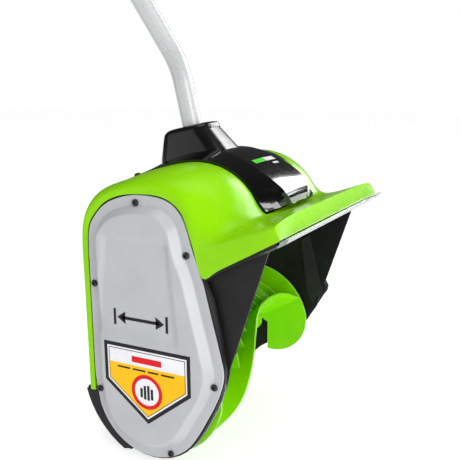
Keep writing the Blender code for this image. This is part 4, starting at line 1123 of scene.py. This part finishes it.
def make_rear_handle():
    for side, word in SIDES:
        shell = refined(f"{word}_handle_shell", 0, stray=at_bay_corner)
        side_grooves(shell, side, HANDLE_HALF, GROOVE, range(128, 196, 9), 2.0, -57.0, -44.0)
        side_grooves(shell, side, BAY_SIDE, GROOVE, (240, 250, 260), 3.0, -40.0, 24.0)
        shade(shell.data, 35)
        bevel_outer_edges(shell, 1.2)
    refined("trigger", 0.5, 2, 32)
    make_trigger_spring()
    button = refined("lock_off_button", 0)
    grooves(button, -5.0, 5.0, (143, 147.4, 151.8), 1.2, 42.4, 45.0)
    shade(button.data, 35)
    bevel(button, 0.25, 2, 32)


def make_battery():
    pack = refined("battery_pack", 0)
    for side in (-1, 1):
        side_grooves(pack, side, PACK_SIDE, 1.2, (294, 304, 314), 4.0, -44.0, 28.0)
    grooves(pack, -30.0, 30.0, (PACK_END + 0.2,), 2.8, -30.0, -2.0)
    shade(pack.data, 35)
    bevel_outer_edges(pack, 0.6)
    for number, x in enumerate((-21, -9, 3), 1):
        lamp = along_box("lamp", x, x + 8.0, (PACK_END - 0.1, -19.0), (PACK_END + 0.5, -15.5), 2)
        to_piece(f"battery_gauge_lamp_{number}", lamp, None, body="battery", paint=LAMP)
    button = [(TIP_R, 1.2), (3.4, 1.2), (4.0, 0.6), (4.0, 0.0), (TIP_R, 0.0)]
    spot = place(20.0, *along_upper(HANDLE_AT + PACK_END, -17.2))
    outwards = place(0, *along_upper(1)) - place(0, *along_upper(0))
    mesh = turned_mesh("gauge_button", button, spot, outwards, 32)
    to_piece("battery_gauge_button", mesh, "green_controls", (), 30, "battery")
    latch = refined("battery_latch", 0)
    grooves(latch, -9.0, 9.0, (300, 304.4, 308.8, 313.2), 1.6, 41.7, 44.0)
    shade(latch.data, 35)
    bevel(latch, 0.25, 2, 32)


def make_terminals():
    block = along_box("block", -16.0, 16.0, (222.0, -12.0), (236.0, 12.0), 2)
    bevel(to_piece("terminal_block", block, "black_plastic", ["battery_terminals"]), 0.8)
    for number, x in enumerate((-9, 0, 9), 1):
        blade = along_box("blade", x - 0.5, x + 0.5, (234.0, -7.0), (246.0, 7.0), 2)
        bevel(to_piece(f"terminal_blade_{number}", blade, None, paint=BRASS), 0.2)


# Everything else keeps its CAD shape, with rounded edges.


def make_plain_pieces():
    for node, width in {
        "right_side_wall": 0.7, "left_side_wall": 0.7, "belt_case": 0.6, "left_side_case": 0.4,
        "scraper_bar": 0.6, "deflector_backing": 0.5, "deflector_strip": 0.6, "left_frame_plate": 0.3,
        "right_frame_plate": 0.3,
    }.items():
        refined(node, width)


make_housing()
make_motor_cover()
make_socket()
make_belt_cover()
make_screws()
make_shaft()
make_rotor()
make_badge()
make_width_mark()
make_panel_marks()
make_lip_backing()
make_assist_handle()
make_rear_handle()
make_battery()
make_terminals()
make_plain_pieces()


# The floor, the light and the white surroundings.

WHITE = (1, 1, 1, 1)
FLOOR_HALF, FLOOR_DROP = 9.0, 0.0005
HEAD = (0.0, -0.08, 0.25)


def make_floor():
    corners = bar((-FLOOR_HALF, -FLOOR_HALF), (FLOOR_HALF, FLOOR_HALF))
    mesh = plain_mesh("floor", [(x, y, -FLOOR_DROP) for x, y in corners], [(0, 1, 2, 3)])
    floor = in_scene("floor", mesh)
    mesh.materials.append(finish(
        "pale_floor", (192, 192, 193), (196, 196, 197), (0.6, 0.7), cloud=3, bump=0.01,
        extra={"Emission Color": WHITE, "Emission Strength": 0.72}))


def soft_light(name, spot, target, size, power, only_gloss=False):
    """A rectangular light that faces a target. Its size is (width, height) in metres, its power in watts."""
    data = bpy.data.lights.new(name, "AREA")
    data.shape = "RECTANGLE"
    data.size, data.size_y = size
    data.energy = power
    light = in_scene(name, data)
    light.location = spot
    light.rotation_mode = "QUATERNION"
    light.rotation_quaternion = (Vector(target) - Vector(spot)).to_track_quat("-Z", "Y")
    light.visible_camera = False
    light.visible_diffuse = not only_gloss


def make_world():
    """A white background, soft light all round for diffuse colours, and darker surroundings in the gloss."""
    world = bpy.data.worlds.new("studio")
    bpy.context.scene.world = world
    world.use_nodes = True
    tree = world.node_tree
    path = tree.nodes.new("ShaderNodeLightPath")
    source = None
    for strength, ray in ((0.06, None), (0.58, "Is Diffuse Ray"), (1.0, "Is Camera Ray")):
        sky = tree.nodes["Background"] if ray == "Is Camera Ray" else tree.nodes.new("ShaderNodeBackground")
        sky.inputs["Color"].default_value = WHITE
        sky.inputs["Strength"].default_value = strength
        if ray:
            choose = tree.nodes.new("ShaderNodeMixShader")
            tree.links.new(path.outputs[ray], choose.inputs["Fac"])
            tree.links.new(source, choose.inputs[1])
            tree.links.new(sky.outputs["Background"], choose.inputs[2])
            source = choose.outputs["Shader"]
        else:
            source = sky.outputs["Background"]
    tree.links.new(source, tree.nodes["World Output"].inputs["Surface"])
    bpy.context.scene.view_settings.view_transform = "Standard"


make_floor()
make_world()
soft_light("rim_softbox", (1.947, -0.870, 1.325), (-0.073, -0.050, 0.445), (1.35, 1.62), 66, True)
soft_light("side_softbox", (0.94, -1.56, 1.36), (0.0, -0.12, 0.36), (0.5, 0.9), 9, True)
soft_light("back_softbox", (-1.7, 1.6, 0.75), HEAD, (1.6, 1.4), 6, True)
soft_light("top_softbox", (-0.3, -0.3, 2.6), HEAD, (1.8, 1.8), 20)
soft_light("front_softbox", (-1.2, -2.4, 0.75), HEAD, (1.3, 1.4), 39)
